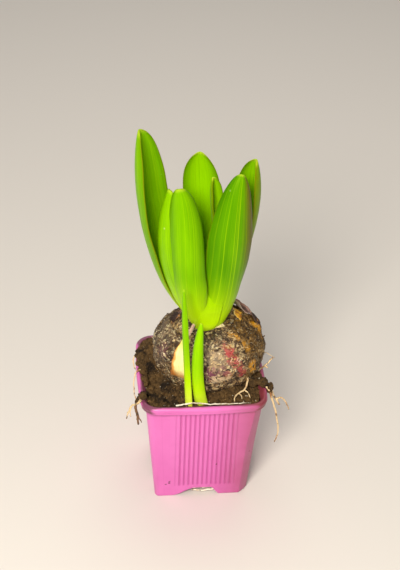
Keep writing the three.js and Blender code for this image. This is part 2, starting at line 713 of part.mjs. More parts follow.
const LOOKS = {
  pot: finish(0xe06fae, 0.4),
  soil: finish(0x3a2a1e, 0.95),
  bulb: finish(0x7a6356, 0.7),
  tunic_flap_left: finish(0x6d6058, 0.6),
  fleshy_scale: finish(0xf0dfa4, 0.5),
  tunic_shard_right: finish(0x33251f, 0.7),
  tunic_shard_pale: finish(0xd9b9b0, 0.6),
  tunic_flake_orange: finish(0xd08a2c, 0.6),
  tunic_shard_left: finish(0x4a3b33, 0.7),
  neck_membrane: finish(0xe9d9b0, 0.5),
  clod_right: finish(0x4a382a, 0.95),
  clod_left: finish(0x433225, 0.95),
};
const LEAF_LOOK = finish(0x7ec21e, 0.35);
const ROOT_LOOK = finish(0xe6d3ab, 0.6);

for (const [name, manifold] of Object.entries(pieces)) {
  const base = LOOKS[name] ?? (name.startsWith("root") ? ROOT_LOOK : LEAF_LOOK);
  add(name, manifold, base.clone());
}

// The origin: the middle of the bounding box, on the table.
const bounds = new THREE.Box3().setFromObject(plant);
const middle = bounds.getCenter(vec(0, 0, 0));
for (const mesh of plant.children) mesh.geometry.translate(-middle.x, -middle.y, -bounds.min.z);

export default plant;
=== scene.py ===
# %% [markdown]
# # A hyacinth bulb in leaf, in a small square pot
#
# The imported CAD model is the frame: it says how big everything is and where it stands. This lesson builds
# the looks round it, one piece at a time: the camera and light, the leaves, the pot, the bulb with its torn
# skins, the compost and the roots. The frame is in metres. The tables of sizes are in millimetres, measured
# from the pot's axis, and MM turns them into metres. Angles are degrees.

# %% Load the frame
import math

import bmesh
import bpy
import numpy as np
from mathutils import Matrix, Vector


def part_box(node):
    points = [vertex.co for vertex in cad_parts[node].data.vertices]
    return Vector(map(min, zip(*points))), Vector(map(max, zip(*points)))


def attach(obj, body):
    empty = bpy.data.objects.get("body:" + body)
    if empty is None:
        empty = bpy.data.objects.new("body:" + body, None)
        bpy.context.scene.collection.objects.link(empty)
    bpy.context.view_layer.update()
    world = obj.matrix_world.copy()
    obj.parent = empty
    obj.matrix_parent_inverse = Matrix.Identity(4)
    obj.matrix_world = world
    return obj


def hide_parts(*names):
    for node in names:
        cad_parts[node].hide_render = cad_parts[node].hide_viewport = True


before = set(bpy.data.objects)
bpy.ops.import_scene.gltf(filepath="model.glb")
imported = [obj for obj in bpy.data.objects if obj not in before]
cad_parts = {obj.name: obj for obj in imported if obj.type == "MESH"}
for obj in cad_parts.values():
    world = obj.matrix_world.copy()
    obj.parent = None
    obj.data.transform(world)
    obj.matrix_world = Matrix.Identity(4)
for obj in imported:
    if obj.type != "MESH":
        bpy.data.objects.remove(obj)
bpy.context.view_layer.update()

MM = 0.001
pot_low, pot_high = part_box("pot")
AXIS = Vector(((pot_low.x + pot_high.x) / 2, (pot_low.y + pot_high.y) / 2, 0.0))
print("pot axis at", [round(v, 5) for v in AXIS], "rim at", round(pot_high.z, 5))

# %% [markdown]
# ## Camera
#
# The view looks down on the rim of the pot from the front, turned a little to the left. The camera is built
# from the direction it looks back along, then rolled by a degree or two, as a hand-held camera is.

# %% Camera
VIEW = {"azimuth": -6.172, "elevation": 33.184, "roll": 1.746, "distance": 0.64552, "lens": 75.8}
LOOK_AT = AXIS + Vector((-1.424, 0.154, 126.951)) * MM


def camera_axes(view):
    """The camera's right, up and back directions."""
    azimuth, elevation, roll = (math.radians(view[key]) for key in ("azimuth", "elevation", "roll"))
    back = Vector(
        (
            math.sin(azimuth) * math.cos(elevation),
            -math.cos(azimuth) * math.cos(elevation),
            math.sin(elevation),
        )
    )
    right = Vector((math.cos(azimuth), math.sin(azimuth), 0.0))
    up = back.cross(right)
    return (
        right * math.cos(roll) + up * math.sin(roll),
        up * math.cos(roll) - right * math.sin(roll),
        back,
    )


right, up, back = camera_axes(VIEW)
camera = bpy.data.objects.new("camera", bpy.data.cameras.new("camera"))
bpy.context.scene.collection.objects.link(camera)
camera.data.lens = VIEW["lens"]
camera.data.clip_start = 0.01
place = LOOK_AT + back * VIEW["distance"]
camera.matrix_world = Matrix.Translation(place) @ Matrix((right, up, back)).transposed().to_4x4()
bpy.context.scene.camera = camera
print("camera at", [round(v, 4) for v in place])

# %% [markdown]
# ## Floor and light
#
# The floor is one wide pale plane. The light is soft and comes mostly from the front and above, a little from
# the left, so the leaves shade off to the right and the pot's right-hand corner is in shade. A big dim fill
# on the right, a light over the back and a pale room keep the shadows open.

# %% Floor and light
bpy.context.scene.view_settings.view_transform = "Standard"

floor_mesh = bpy.data.meshes.new("floor")
floor_mesh.from_pydata([(-3, -3, 0), (3, -3, 0), (3, 3, 0), (-3, 3, 0)], [], [(0, 1, 2, 3)])
floor = bpy.data.objects.new("floor", floor_mesh)
bpy.context.scene.collection.objects.link(floor)
floor.location = (0, 0, -0.0002)
floor_paint = bpy.data.materials.new("floor_paint")
floor_paint.use_nodes = True
floor_shader = floor_paint.node_tree.nodes["Principled BSDF"]
floor_shader.inputs["Base Color"].default_value = (0.74, 0.71, 0.67, 1.0)
floor_shader.inputs["Roughness"].default_value = 0.75
floor_mesh.materials.append(floor_paint)


def soft_box(name, direction, distance, size, power, colour):
    """A square area light that faces the plant from the given direction."""
    light = bpy.data.lights.new(name, "AREA")
    light.size = size
    light.energy = power
    light.color = colour
    lamp = bpy.data.objects.new(name, light)
    bpy.context.scene.collection.objects.link(lamp)
    direction = Vector(direction).normalized()
    lamp.location = AXIS + Vector((0, 0, 0.1)) + direction * distance
    lamp.rotation_mode = "QUATERNION"
    lamp.rotation_quaternion = direction.to_track_quat("Z", "Y")
    return lamp


soft_box("key", (-0.36, -0.95, 0.8), 0.9, 0.3, 9.4, (1.0, 0.93, 0.83))
soft_box("fill", (0.9, -0.8, 0.5), 1.2, 0.9, 0.3, (1.0, 0.96, 0.92))
soft_box("top", (0.1, 0.6, 1.0), 1.1, 0.8, 3.4, (1.0, 0.95, 0.88))

world = bpy.data.worlds.new("room")
bpy.context.scene.world = world
world.use_nodes = True
world.node_tree.nodes["Background"].inputs["Color"].default_value = (1.0, 0.96, 0.91, 1.0)
world.node_tree.nodes["Background"].inputs["Strength"].default_value = 0.34

# %% [markdown]
# ## A small language for node trees
#
# Geometry and shading are both written as node trees. Two small classes make that readable: a Net adds nodes
# to a tree, and a Wire is one output that understands + - * / and comparison, on numbers and on vectors, so
# a formula can be written down as it is on paper.

# %% Nets and wires
class Wire:
    def __init__(self, net, socket):
        self.net, self.socket = net, socket
        self.is_vector = socket.type == "VECTOR"

    def _math(self, operation, *values):
        return self.net.put("ShaderNodeMath", {"operation": operation}, dict(enumerate(values)))

    def _vector(self, operation, *values):
        return self.net.put("ShaderNodeVectorMath", {"operation": operation}, dict(enumerate(values)))

    def _either(self, operation, a, b):
        if any(isinstance(v, Wire) and v.is_vector or isinstance(v, (Vector, tuple)) for v in (a, b)):
            return self._vector(operation, a, b)
        return self._math(operation, a, b)

    def __add__(self, other):
        return self._either("ADD", self, other)

    def __radd__(self, other):
        return self._either("ADD", other, self)

    def __sub__(self, other):
        return self._either("SUBTRACT", self, other)

    def __rsub__(self, other):
        return self._either("SUBTRACT", other, self)

    def __mul__(self, other):
        if self.is_vector and not (isinstance(other, Wire) and other.is_vector or isinstance(other, tuple)):
            return self.net.put("ShaderNodeVectorMath", {"operation": "SCALE"}, {0: self, "Scale": other})
        if isinstance(other, Wire) and other.is_vector and not self.is_vector:
            return other * self
        return self._either("MULTIPLY", self, other)

    __rmul__ = __mul__

    def __truediv__(self, other):
        if self.is_vector or isinstance(other, (int, float)):
            return self * (1.0 / other)
        return self._math("DIVIDE", self, other)

    def __rtruediv__(self, other):
        return self._math("DIVIDE", other, self)

    def __pow__(self, other):
        return self._math("POWER", self, other)

    def __neg__(self):
        return self * -1.0

    def __abs__(self):
        return self._math("ABSOLUTE", self)

    def __lt__(self, other):
        return self._math("LESS_THAN", self, other)

    def __gt__(self, other):
        return self._math("GREATER_THAN", self, other)

    def sin(self):
        return self._math("SINE", self)

    def cos(self):
        return self._math("COSINE", self)

    def least(self, other):
        return self._math("MINIMUM", self, other)

    def most(self, other):
        return self._math("MAXIMUM", self, other)

    def sign(self):
        return self._math("SIGN", self)

    def rounded(self):
        return self._math("ROUND", self)

    def wrapped(self, high, low):
        return self._math("WRAP", self, high, low)

    def bell(self):
        """A bell curve: 1 at zero, and almost nothing beyond 2."""
        return self._math("EXPONENT", self * self * -1.0)

    def clamped(self):
        return self.most(0.0).least(1.0)

    def smooth(self, start, end):
        """0 before start, 1 after end, and an even slope between."""
        t = ((self - start) / (end - start)).clamped()
        return t * t * (3.0 - 2.0 * t)

    def toward(self, other, factor):
        """From this value to the other, by factor."""
        return self + (other - self) * factor

    def dot(self, other):
        return self._vector("DOT_PRODUCT", self, other).also("Value")

    def cross(self, other):
        return self._vector("CROSS_PRODUCT", self, other)

    def unit(self):
        return self._vector("NORMALIZE", self)

    def length(self):
        return self._vector("LENGTH", self).also("Value")

    def away_from(self, place):
        return self._vector("DISTANCE", self, place).also("Value")

    def part(self, axis):
        return self.net.put("ShaderNodeSeparateXYZ", {}, {0: self}).also(axis)

    def also(self, name):
        """Another output of the node this wire comes from."""
        return Wire(self.net, self.socket.node.outputs[name])


class Net:
    def __init__(self, tree):
        self.tree = tree

    def put(self, kind, settings=None, values=None, out=0):
        """Adds one node: its settings first, then the values or wires of its sockets."""
        node = self.tree.nodes.new(kind)
        for name, value in (settings or {}).items():
            setattr(node, name, value)
        for key, value in (values or {}).items():
            self.feed(node.inputs[key], value)
        return Wire(self, node.outputs[out]) if node.outputs else node

    def feed(self, socket, value):
        if isinstance(value, Wire):
            self.tree.links.new(value.socket, socket)
        elif socket.type == "RGBA":
            socket.default_value = (*value, 1.0)
        elif socket.type == "VECTOR" and isinstance(value, (int, float)):
            socket.default_value = (value, value, value)
        else:
            socket.default_value = value

    def vector(self, x, y, z):
        return self.put("ShaderNodeCombineXYZ", {}, {0: x, 1: y, 2: z})

    def noise(self, where, scale, detail=2.0, rough=0.5, **more):
        values = {"Vector": where, "Scale": scale, "Detail": detail, "Roughness": rough, **more}
        return self.put("ShaderNodeTexNoise", {}, values)

    def cells(self, where, scale):
        """How far the middle of the nearest cell is; its "Color" output differs from cell to cell."""
        values = {"Vector": where, "Scale": scale}
        return self.put("ShaderNodeTexVoronoi", {"feature": "F1"}, values, "Distance")


SOCKETS = {"number": "NodeSocketFloat", "whole": "NodeSocketInt", "vector": "NodeSocketVector",
           "shape": "NodeSocketGeometry", "material": "NodeSocketMaterial"}


class ShapeTree(Net):
    """A Geometry Nodes tree with named inputs, which ends in Realize Instances and Set Material."""

    def __init__(self, name, inputs):
        super().__init__(bpy.data.node_groups.new(name, "GeometryNodeTree"))
        self.sockets = {}
        for label, kind in {"Geometry": "shape", "Material": "material", **inputs}.items():
            made = self.tree.interface.new_socket(label, in_out="INPUT", socket_type=SOCKETS[kind])
            self.sockets[label] = made.identifier
        self.tree.interface.new_socket("Geometry", in_out="OUTPUT", socket_type="NodeSocketGeometry")
        self.start = self.tree.nodes.new("NodeGroupInput")

    def given(self, label):
        return Wire(self, self.start.outputs[label])

    def grid(self, size, columns, rows):
        """A flat grid round the middle, to be bent by a formula."""
        values = {"Size X": size, "Size Y": size, "Vertices X": columns, "Vertices Y": rows}
        return self.put("GeometryNodeMeshGrid", {}, values)

    def spot(self):
        """Where each point is now."""
        return self.put("GeometryNodeInputPosition")

    def keep(self, shape, **kept):
        """Stores numbers on the points, for the material to read."""
        for name, value in kept.items():
            values = {"Geometry": shape, "Name": name, "Value": value}
            settings = {"data_type": "FLOAT", "domain": "POINT"}
            shape = self.put("GeometryNodeStoreNamedAttribute", settings, values)
        return shape

    def kept(self, name, kind="FLOAT"):
        """A number or vector that the points came with."""
        return self.put("GeometryNodeInputNamedAttribute", {"data_type": kind}, {"Name": name})

    def moved(self, shape, **where):
        """Sets the points' Position, or moves them by an Offset."""
        return self.put("GeometryNodeSetPosition", {}, {"Geometry": shape, **where})

    def welded(self, shape, distance):
        return self.put("GeometryNodeMergeByDistance", {}, {"Geometry": shape, "Distance": distance})

    def smoothed(self, shape):
        return self.put("GeometryNodeSetShadeSmooth", {}, {"Geometry": shape, "Shade Smooth": True})

    def scattered(self, where):
        """Points scattered over the mesh the tree is given, where that is 1."""
        values = {"Mesh": self.given("Geometry"), "Selection": where}
        values.update({name: self.given(name) for name in ("Density", "Seed")})
        return self.put("GeometryNodeDistributePointsOnFaces", {"distribute_method": "RANDOM"}, values)

    def random(self, low, high, seed):
        """A random number for each point, or a random vector where the limits are vectors."""
        if isinstance(high, tuple):
            values = {"Min": low, "Max": high, "Seed": seed}
            return self.put("FunctionNodeRandomValue", {"data_type": "FLOAT_VECTOR"}, values)
        values = {2: low, 3: high, "Seed": seed}
        return self.put("FunctionNodeRandomValue", {"data_type": "FLOAT"}, values, 1)

    def finish(self, shape):
        shape = self.put("GeometryNodeRealizeInstances", {}, {"Geometry": shape})
        painted = {"Geometry": shape, "Material": self.given("Material")}
        shape = self.put("GeometryNodeSetMaterial", {}, painted)
        end = self.tree.nodes.new("NodeGroupOutput")
        self.feed(end.inputs["Geometry"], shape)

    def grow(self, name, values, material, base=None):
        """Runs the tree on a mesh (or on nothing) and returns the result as a plain mesh object."""
        seed_mesh = base or bpy.data.meshes.new(name + "_seed")
        maker = bpy.data.objects.new(name + "_maker", seed_mesh)
        bpy.context.scene.collection.objects.link(maker)
        modifier = maker.modifiers.new("grow", "NODES")
        modifier.node_group = self.tree
        for label, value in {**values, "Material": material}.items():
            modifier[self.sockets[label]] = value
        bpy.context.view_layer.update()
        mesh = bpy.data.meshes.new_from_object(maker.evaluated_get(bpy.context.evaluated_depsgraph_get()))
        bpy.data.objects.remove(maker)
        mesh.name = name
        piece = bpy.data.objects.new(name, mesh)
        bpy.context.scene.collection.objects.link(piece)
        return piece

# %% [markdown]
# ## The leaves
#
# A hyacinth leaf is a thick strap folded into a channel. All seven follow one rule, and so do the two young
# shoots at the foot of the bulb, so one node tree makes them: a keel line from base to tip (a cubic curve),
# a cross-section that is an arc of a circle, a width that swells and then closes like the bow of a boat, and
# a direction that the channel opens in. A flat grid is laid out along and round the blade, every point is
# moved to its place by the formula, and the points that meet are merged, which closes the blade. Fine
# parallel veins and a slow ripple are pressed into the same surface. The place of each point along, across
# and through the blade is kept for the leaf's material.

# %% The leaf tree
ROWS_BELOW = 0.03  # the share of the grid that goes down into the bulb
SEAM = 0.02 * MM  # points nearer than this are one


def cubic(points, t):
    """A point of a cubic curve and its direction there."""
    base, lower, upper, tip = points
    s = 1.0 - t
    place = base * (s * s * s) + lower * (3.0 * s * s * t) + upper * (3.0 * s * t * t) + tip * (t * t * t)
    heading = (lower - base) * (s * s) + (upper - lower) * (2.0 * s * t) + (tip - upper) * (t * t)
    return place, heading.unit()


def leaf_tree():
    net = ShapeTree(
        "leaf_blade",
        {
            "Rows": "whole", "Columns": "whole",
            "Keel base": "vector", "Keel lower": "vector", "Keel upper": "vector", "Keel tip": "vector",
            "Width": "number", "Base width": "number", "Widest at": "number",
            "Taper from": "number", "Tip power": "number", "Reach": "number",
            "Fold base": "number", "Fold middle": "number", "Fold tip": "number",
            "Facing base": "number", "Facing tip": "number",
            "Thickness": "number", "Sunk": "number",
            "Veins": "number", "Vein depth": "number", "Ripple": "number", "Seed": "number", "Tone": "number",
            "Shade_and_brown_reflection": "number", "Bleach": "number",
        },
    )
    given = net.given
    grid, spot = net.grid(1.0, given("Columns"), given("Rows")), net.spot()
    # close to the tip the rows crowd together, so that its outline stays round
    row = (spot.part("Y") + 0.5 - ROWS_BELOW) / (1.0 - ROWS_BELOW)
    below = (0.0 - row).most(0.0) / ROWS_BELOW
    up = row.clamped()
    t = 1.0 - (1.0 - up) ** 1.5
    turn = (spot.part("X") + 0.5) * (-2.0 * math.pi)
    side, across = turn.sin(), turn.cos() * -1.0

    keel = [given("Keel " + name) for name in ("base", "lower", "upper", "tip")]
    on_keel = (t * given("Reach")).least(0.998)
    place, heading = cubic(keel, on_keel)
    place = place - heading * (below * given("Sunk"))

    facing = given("Facing base").toward(given("Facing tip"), t) * (math.pi / 180)
    inward = net.vector(facing.cos(), facing.sin(), 0.0)
    inward = (inward - heading * inward.dot(heading)).unit()
    sideways = heading.cross(inward)

    width = given("Base width").toward(given("Width"), t.smooth(0.0, given("Widest at")))
    closing = ((t - given("Taper from")) / (1.0 - given("Taper from"))).clamped()
    width = (width * (1.0 - closing ** given("Tip power")).most(0.0) ** 0.5).most(0.0001)
    fold = given("Fold base").toward(given("Fold middle"), t.smooth(0.0, 0.5))
    fold = fold.toward(given("Fold tip"), t.smooth(0.5, 1.0)) * (math.pi / 180)
    radius = width / fold

    # half the thickness: thinner towards the tip and towards the rims
    half = (given("Thickness") * (1.0 - 0.5 * t) / 2.0).least(width * 0.25)
    vein = (across * given("Veins") * math.pi + (t * 5.0 + given("Seed")).sin() * 0.6).sin()
    rims = (1.0 - across * across * across * across).clamped()
    relief = vein * given("Vein depth") * rims * t.smooth(0.02, 0.2) * (1.0 - t.smooth(0.8, 1.0))
    swell = abs(side) ** 0.6 * (half + relief) * (below < 0.999)
    distance = radius + swell * side.sign()
    distance = distance.most(radius * 0.12)

    # a slow ripple, stronger at the rims, keeps the blade from looking turned on a lathe
    noise = net.noise(net.vector(t * 4.0, across * 0.7, given("Seed")), 1.0, 1.0)
    ripple = (noise - 0.5) * given("Ripple") * (0.4 + across * across) * t.smooth(0.05, 0.3)
    angle = across * fold * 0.5
    place = place + sideways * (distance * angle.sin() + ripple * 0.6)
    place = place + inward * (radius - distance * angle.cos() + ripple)

    colours = {name.lower(): given(name) for name in ("Tone", "Shade_and_brown_reflection", "Bleach")}
    shape = net.keep(grid, along=t, across=across, side=side, **colours)
    shape = net.moved(shape, Position=place)
    net.finish(net.smoothed(net.welded(shape, SEAM)))
    return net

# %% [markdown]
# ### Leaf green
#
# The blade is a fresh yellow-green, yellower near the bulb where it saw no light, and deeper towards its
# sides, partly its own colour and partly painted shade. A thin brown line runs along the rims, partly the
# leaf's own margin and partly painted shade where one leaf meets the next; the tip is pale, partly a painted
# highlight;
# and one flank may carry painted shade and a painted brown reflection. Fine parallel veins run its whole
# length, some of them lighter than the rest, and a few pale specks of dust and sap sit on it. All of that is
# read from the places kept on the blade, so it follows each leaf however it bends. The shine is soft: a waxy
# skin.

# %% Leaf finish
def linear(red, green, blue):
    """A screen colour (0 to 255) as the linear light values that a shader works with."""
    def light(v):
        return v / 255 / 12.92 if v <= 10 else ((v / 255 + 0.055) / 1.055) ** 2.4

    return tuple(light(v) for v in (red, green, blue))


class Finish(Net):
    """A material whose tree ends in one Principled shader. Plain numbers are set on the shader itself."""

    def __init__(self, name, **plain):
        self.material = bpy.data.materials.new(name)
        self.material.use_nodes = True
        super().__init__(self.material.node_tree)
        self.shader = self.tree.nodes["Principled BSDF"]
        for label, value in plain.items():
            self.feed(self.shader.inputs[label.replace("_", " ")], value)

    def kept(self, name):
        """A number that was stored on the piece's points."""
        return self.put("ShaderNodeAttribute", {"attribute_name": name}, {}, "Fac")

    def mix(self, first, second, factor, how="MIX"):
        """Two colours mixed by a factor."""
        settings = {"data_type": "RGBA", "blend_type": how, "clamp_factor": True}
        return self.put("ShaderNodeMix", settings, {0: factor, 6: first, 7: second}, 2)

    def place(self):
        return self.put("ShaderNodeTexCoord", {}, {}, "Object")

    def set(self, label, wire):
        self.feed(self.shader.inputs[label], wire)

    def bump(self, height, distance, strength=1.0):
        values = {"Height": height, "Distance": distance, "Strength": strength}
        self.set("Normal", self.put("ShaderNodeBump", {}, values))


def leaf_finish():
    look = Finish("leaf_green", Roughness=0.36, Specular_IOR_Level=0.2, Specular_Tint=linear(226, 240, 60))
    along, across, side = (look.kept(name) for name in ("along", "across", "side"))
    tone, shade_and_brown_reflection, bleach = (look.kept(name) for name in ("tone", "shade_and_brown_reflection", "bleach"))
    fine = look.noise(look.vector(along * 1.6, across * 21.0, tone * 9.0), 1.0, 3.0, 0.6)
    broad = look.noise(look.vector(along * 3.0, across * 3.0, tone * 5.0), 1.0, 2.0)
    edge = abs(across)

    green = look.mix(linear(74, 138, 1), linear(154, 218, 2), (tone + (broad - 0.5) * 0.5).clamped())
    # veins: many faint ones, and a few that stand out
    vein = look.noise(look.vector(along * 0.5, across * 34.0, tone * 7.0), 1.0, 1.0, 0.5).smooth(0.56, 0.72)
    stripe = look.noise(look.vector(along * 0.4, across * 9.0, tone * 3.0 + 4.0), 1.0, 1.0).smooth(0.6, 0.72)
    green = look.mix(green, linear(176, 218, 10), vein * 0.4 + stripe * 0.18)
    green = look.mix(green, linear(60, 116, 1), (0.44 - fine).most(0.0) * 2.6)
    # the foot of the blade is yellower, and the outer thirds are a deeper green than the middle: partly their
    # own colour, partly painted shade of the sides that face away from the light
    foot = 1.0 - along.smooth(0.04, 0.46)
    green = look.mix(green, linear(194, 238, 2), foot * 0.85)
    green = look.mix(green, linear(220, 226, 60), (1.0 - along.smooth(0.0, 0.05)) * 0.2)
    outer = edge ** 2.4 * 0.62 * (1.0 - foot * 0.6) * (1.0 - bleach * 0.7)
    green = look.mix(green, linear(54, 104, 1), outer)
    # a young shoot is bleached pale from its foot upwards
    green = look.mix(green, linear(184, 226, 4), (1.0 - along.smooth(0.15, 0.65)) * bleach)
    green = look.mix(green, linear(232, 240, 90), (1.0 - along.smooth(0.0, 0.3)) * bleach)
    # one flank may be browned: painted shade and a painted reflection of brown surroundings
    flank = (across * shade_and_brown_reflection.sign()).smooth(0.15, 0.7) * abs(shade_and_brown_reflection) * along.smooth(0.3, 0.6)
    green = look.mix(green, linear(112, 88, 14), flank * 0.75)
    # the rims get a thin brown line: partly the leaf's own margin, partly painted shade where one leaf meets
    # the next
    rim = edge.smooth(0.95, 0.995)
    green = look.mix(green, linear(122, 106, 8), rim * 0.6)
    # the very tip is whitish: partly its own pale tip, partly a painted highlight
    green = look.mix(green, linear(206, 222, 60), along.smooth(0.975, 0.995) * 0.4)
    # the hollow side is a little deeper in colour
    hollow = side.smooth(0.2, -0.2)
    green = look.mix(green, linear(88, 150, 1), hollow * 0.12)
    # dust and dried sap
    rare = look.noise(look.place(), 90.0, 1.0).smooth(0.66, 0.7)
    speck = look.cells(look.place(), 240.0).smooth(0.16, 0.08) * rare
    green = look.mix(green, linear(222, 236, 150), speck * 0.45)
    look.set("Base Color", green)
    look.set("Roughness", 0.34 + fine * 0.14 + speck * 0.3 + rim * 0.1)
    look.bump(fine * 0.6 + vein * 0.4 + speck, 0.0001, 0.6)
    return look.material


LEAF_GREEN = leaf_finish()


# %% Grow the leaves
# Each keel is given by the four points of its cubic, in mm. The fold and the way the channel faces are angles
# at the base, half-way up and at the tip; the sizes are in mm, and the other numbers are shares of 1.
# tone is how deep (0) or fresh (1) a blade's green is; each value is partly the leaf's own colour and partly
# painted light and shade, set for how much light reaches that leaf
LEAVES = {
    "leaf_right_front": dict(
        keel=((4.9, -9, 105.9), (17.2, -9.9, 122), (11.6, -22.8, 177.1), (17.4, -8, 198)),
        width=29.8, base_width=34, widest_at=0.35, taper_from=0.6, tip_power=1.15,
        fold=(179, 119, 140), facing=(120, 91), thickness=2.2, sunk=3, tone=0.08, shade_and_brown_reflection=-1,
    ),
    "leaf_left_front": dict(
        keel=((-2.1, -8, 107), (-15.8, -19, 134.9), (-9.5, -18, 159.8), (-14.5, -10, 191.6)),
        width=23.3, base_width=13.1, widest_at=0.35, taper_from=0.7, tip_power=2.5,
        fold=(90, 130, 170), facing=(54, 81), thickness=2.2, sunk=4, tone=0.4,
    ),
    "leaf_left_behind": dict(
        keel=((-5.8, -4, 107), (-20.5, -8, 132.7), (-28.5, -6, 154.3), (-18.8, -2, 187)),
        width=23.8, base_width=12.1, widest_at=0.35, taper_from=0.59, tip_power=2.2,
        fold=(90, 110, 140), facing=(26, 22), thickness=2, sunk=4, tone=0.6,
    ),
    "leaf_tall_left": dict(
        keel=((-6.1, 5, 107), (-24.6, 9, 126.9), (-37, 14, 175.2), (-33.3, 8, 217.1)),
        width=32.4, base_width=13.2, widest_at=0.4, taper_from=0.6, tip_power=2.25,
        fold=(110, 150, 180), facing=(-27, -36), thickness=2, sunk=4, tone=0.58, reach=0.99,
    ),
    "leaf_back": dict(
        keel=((2.6, 10, 107), (3.2, 19, 137.1), (1.9, 27, 172.1), (-1.6, 18, 197.6)),
        width=23.4, base_width=14, widest_at=0.35, taper_from=0.69, tip_power=2.8,
        fold=(110, 110, 110), facing=(-87, -106), thickness=2, sunk=4, tone=1.1,
    ),
    "leaf_right_back": dict(
        keel=((9.6, 4, 107), (19.7, 9, 139.4), (32.4, 12, 167.3), (26.2, 6, 198.9)),
        width=26.5, base_width=14, widest_at=0.4, taper_from=0.6, tip_power=3,
        fold=(110, 150, 180), facing=(207, 208), thickness=2, sunk=4, tone=0.8, shade_and_brown_reflection=0.6,
    ),
    "leaf_young_inner": dict(
        keel=((3, 1, 107), (13.1, 4, 138.7), (3.3, 6, 172.5), (3.9, 2, 191.3)),
        width=12.5, base_width=12, widest_at=0.35, taper_from=0.68, tip_power=2.2,
        fold=(170, 170, 170), facing=(-50, -52), thickness=1.8, sunk=4, tone=1.1, shade_and_brown_reflection=-0.4,
    ),
    "offset_shoot_long": dict(
        keel=((-8.6, -28.4, 63), (-10, -30.2, 90), (-12, -30, 114), (-12.4, -25, 141.2)),
        width=3.9, base_width=4.4, widest_at=0.5, taper_from=0.7, tip_power=1.6,
        fold=(80, 90, 100), facing=(60, 60), thickness=1.6, sunk=2, tone=0.5, bleach=0.8,
    ),
    "offset_shoot_short": dict(
        keel=((-0.6, -27.6, 63), (-6, -31.4, 83), (-6, -32.2, 104), (-3, -27, 121)),
        width=7.2, base_width=7.6, widest_at=0.5, taper_from=0.5, tip_power=1.7,
        fold=(100, 110, 120), facing=(80, 70), thickness=1.7, sunk=2, tone=0.75, bleach=0.55,
    ),
}
PIECES = []


def finished(piece, slot, *nodes):
    """Hangs the piece on the root and hides the nodes of the frame that it stands for. The slot is not used.
    """
    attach(piece, "root")
    if nodes:
        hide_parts(*nodes)
    triangles = sum(len(face.vertices) - 2 for face in piece.data.polygons)
    PIECES.append((piece.name, triangles))
    print(piece.name, "has", triangles, "triangles")
    return piece


def at(point):
    """A point given in mm from the pot's axis, in metres in the frame."""
    return AXIS + Vector(point) * MM


leaf_maker = leaf_tree()
for number, (name, leaf) in enumerate(LEAVES.items()):
    shoot = name.startswith("offset")
    values = {
        "Rows": 110, "Columns": 61 if shoot else 145,
        **{"Keel " + part: at(point) for part, point in zip(("base", "lower", "upper", "tip"), leaf["keel"])},
        "Width": leaf["width"] * MM, "Base width": leaf["base_width"] * MM,
        "Widest at": leaf["widest_at"], "Taper from": leaf["taper_from"], "Tip power": leaf["tip_power"],
        "Reach": leaf.get("reach", 1.0),
        **{"Fold " + part: float(turn) for part, turn in zip(("base", "middle", "tip"), leaf["fold"])},
        **{"Facing " + part: float(turn) for part, turn in zip(("base", "tip"), leaf["facing"])},
        "Thickness": leaf["thickness"] * MM, "Sunk": leaf["sunk"] * MM,
        "Veins": 5.0 if shoot else 15.0, "Vein depth": 0.00002 if shoot else 0.00004,
        "Ripple": 0.0002 if shoot else 0.0012, "Seed": 1.7 * number, "Tone": leaf["tone"],
        "Shade_and_brown_reflection": float(leaf.get("shade_and_brown_reflection", 0)), "Bleach": float(leaf.get("bleach", 0)),
    }
    blade = leaf_maker.grow(name + "_blade", values, LEAF_GREEN)
    finished(blade, "leaf", name)

# %% [markdown]
# ### Where the two front leaves meet
#
# Near the bulb the two front leaves press together, and no gap shows between them: the outer one wraps
# smoothly over the other, and the furrow only opens some way up. Two separate blades can't show that, so a
# thin closed sheet is laid over the furrow. It spans from one blade to the other and sinks between them with
# height, until it is lost inside.

# %% The sheath over the furrow
FURROW = {
    # height: (left end x, y), (right end x, y), crown, how deep the middle has sunk
    102: ((-4.4, -4.8), (6.4, -7.4), 2.6, 0.0),
    106: ((-4.0, -7.8), (7.0, -9.6), 2.2, 0.0),
    108: ((-4.0, -9.3), (8.0, -9.9), 1.75, 0.0),
    110: ((-4.0, -10.6), (8.5, -10.3), 1.15, 0.0),
    114: ((-3.0, -12.7), (9.0, -11.1), 0.55, 0.0),
    118: ((-2.6, -13.9), (9.6, -11.9), 0.45, 0.1),
    122: ((-2.2, -15.0), (10.0, -12.5), 0.35, 0.8),
    126: ((-1.6, -15.9), (9.6, -13.0), 0.3, 2.4),
    130: ((-0.6, -16.4), (8.8, -13.4), 0.3, 4.8),
    134: ((0.2, -16.3), (8.0, -13.6), 0.3, 8.0),
}
SHEET_FACES = (0.25, -0.55)  # how far the sheet's two faces stand out from its middle line


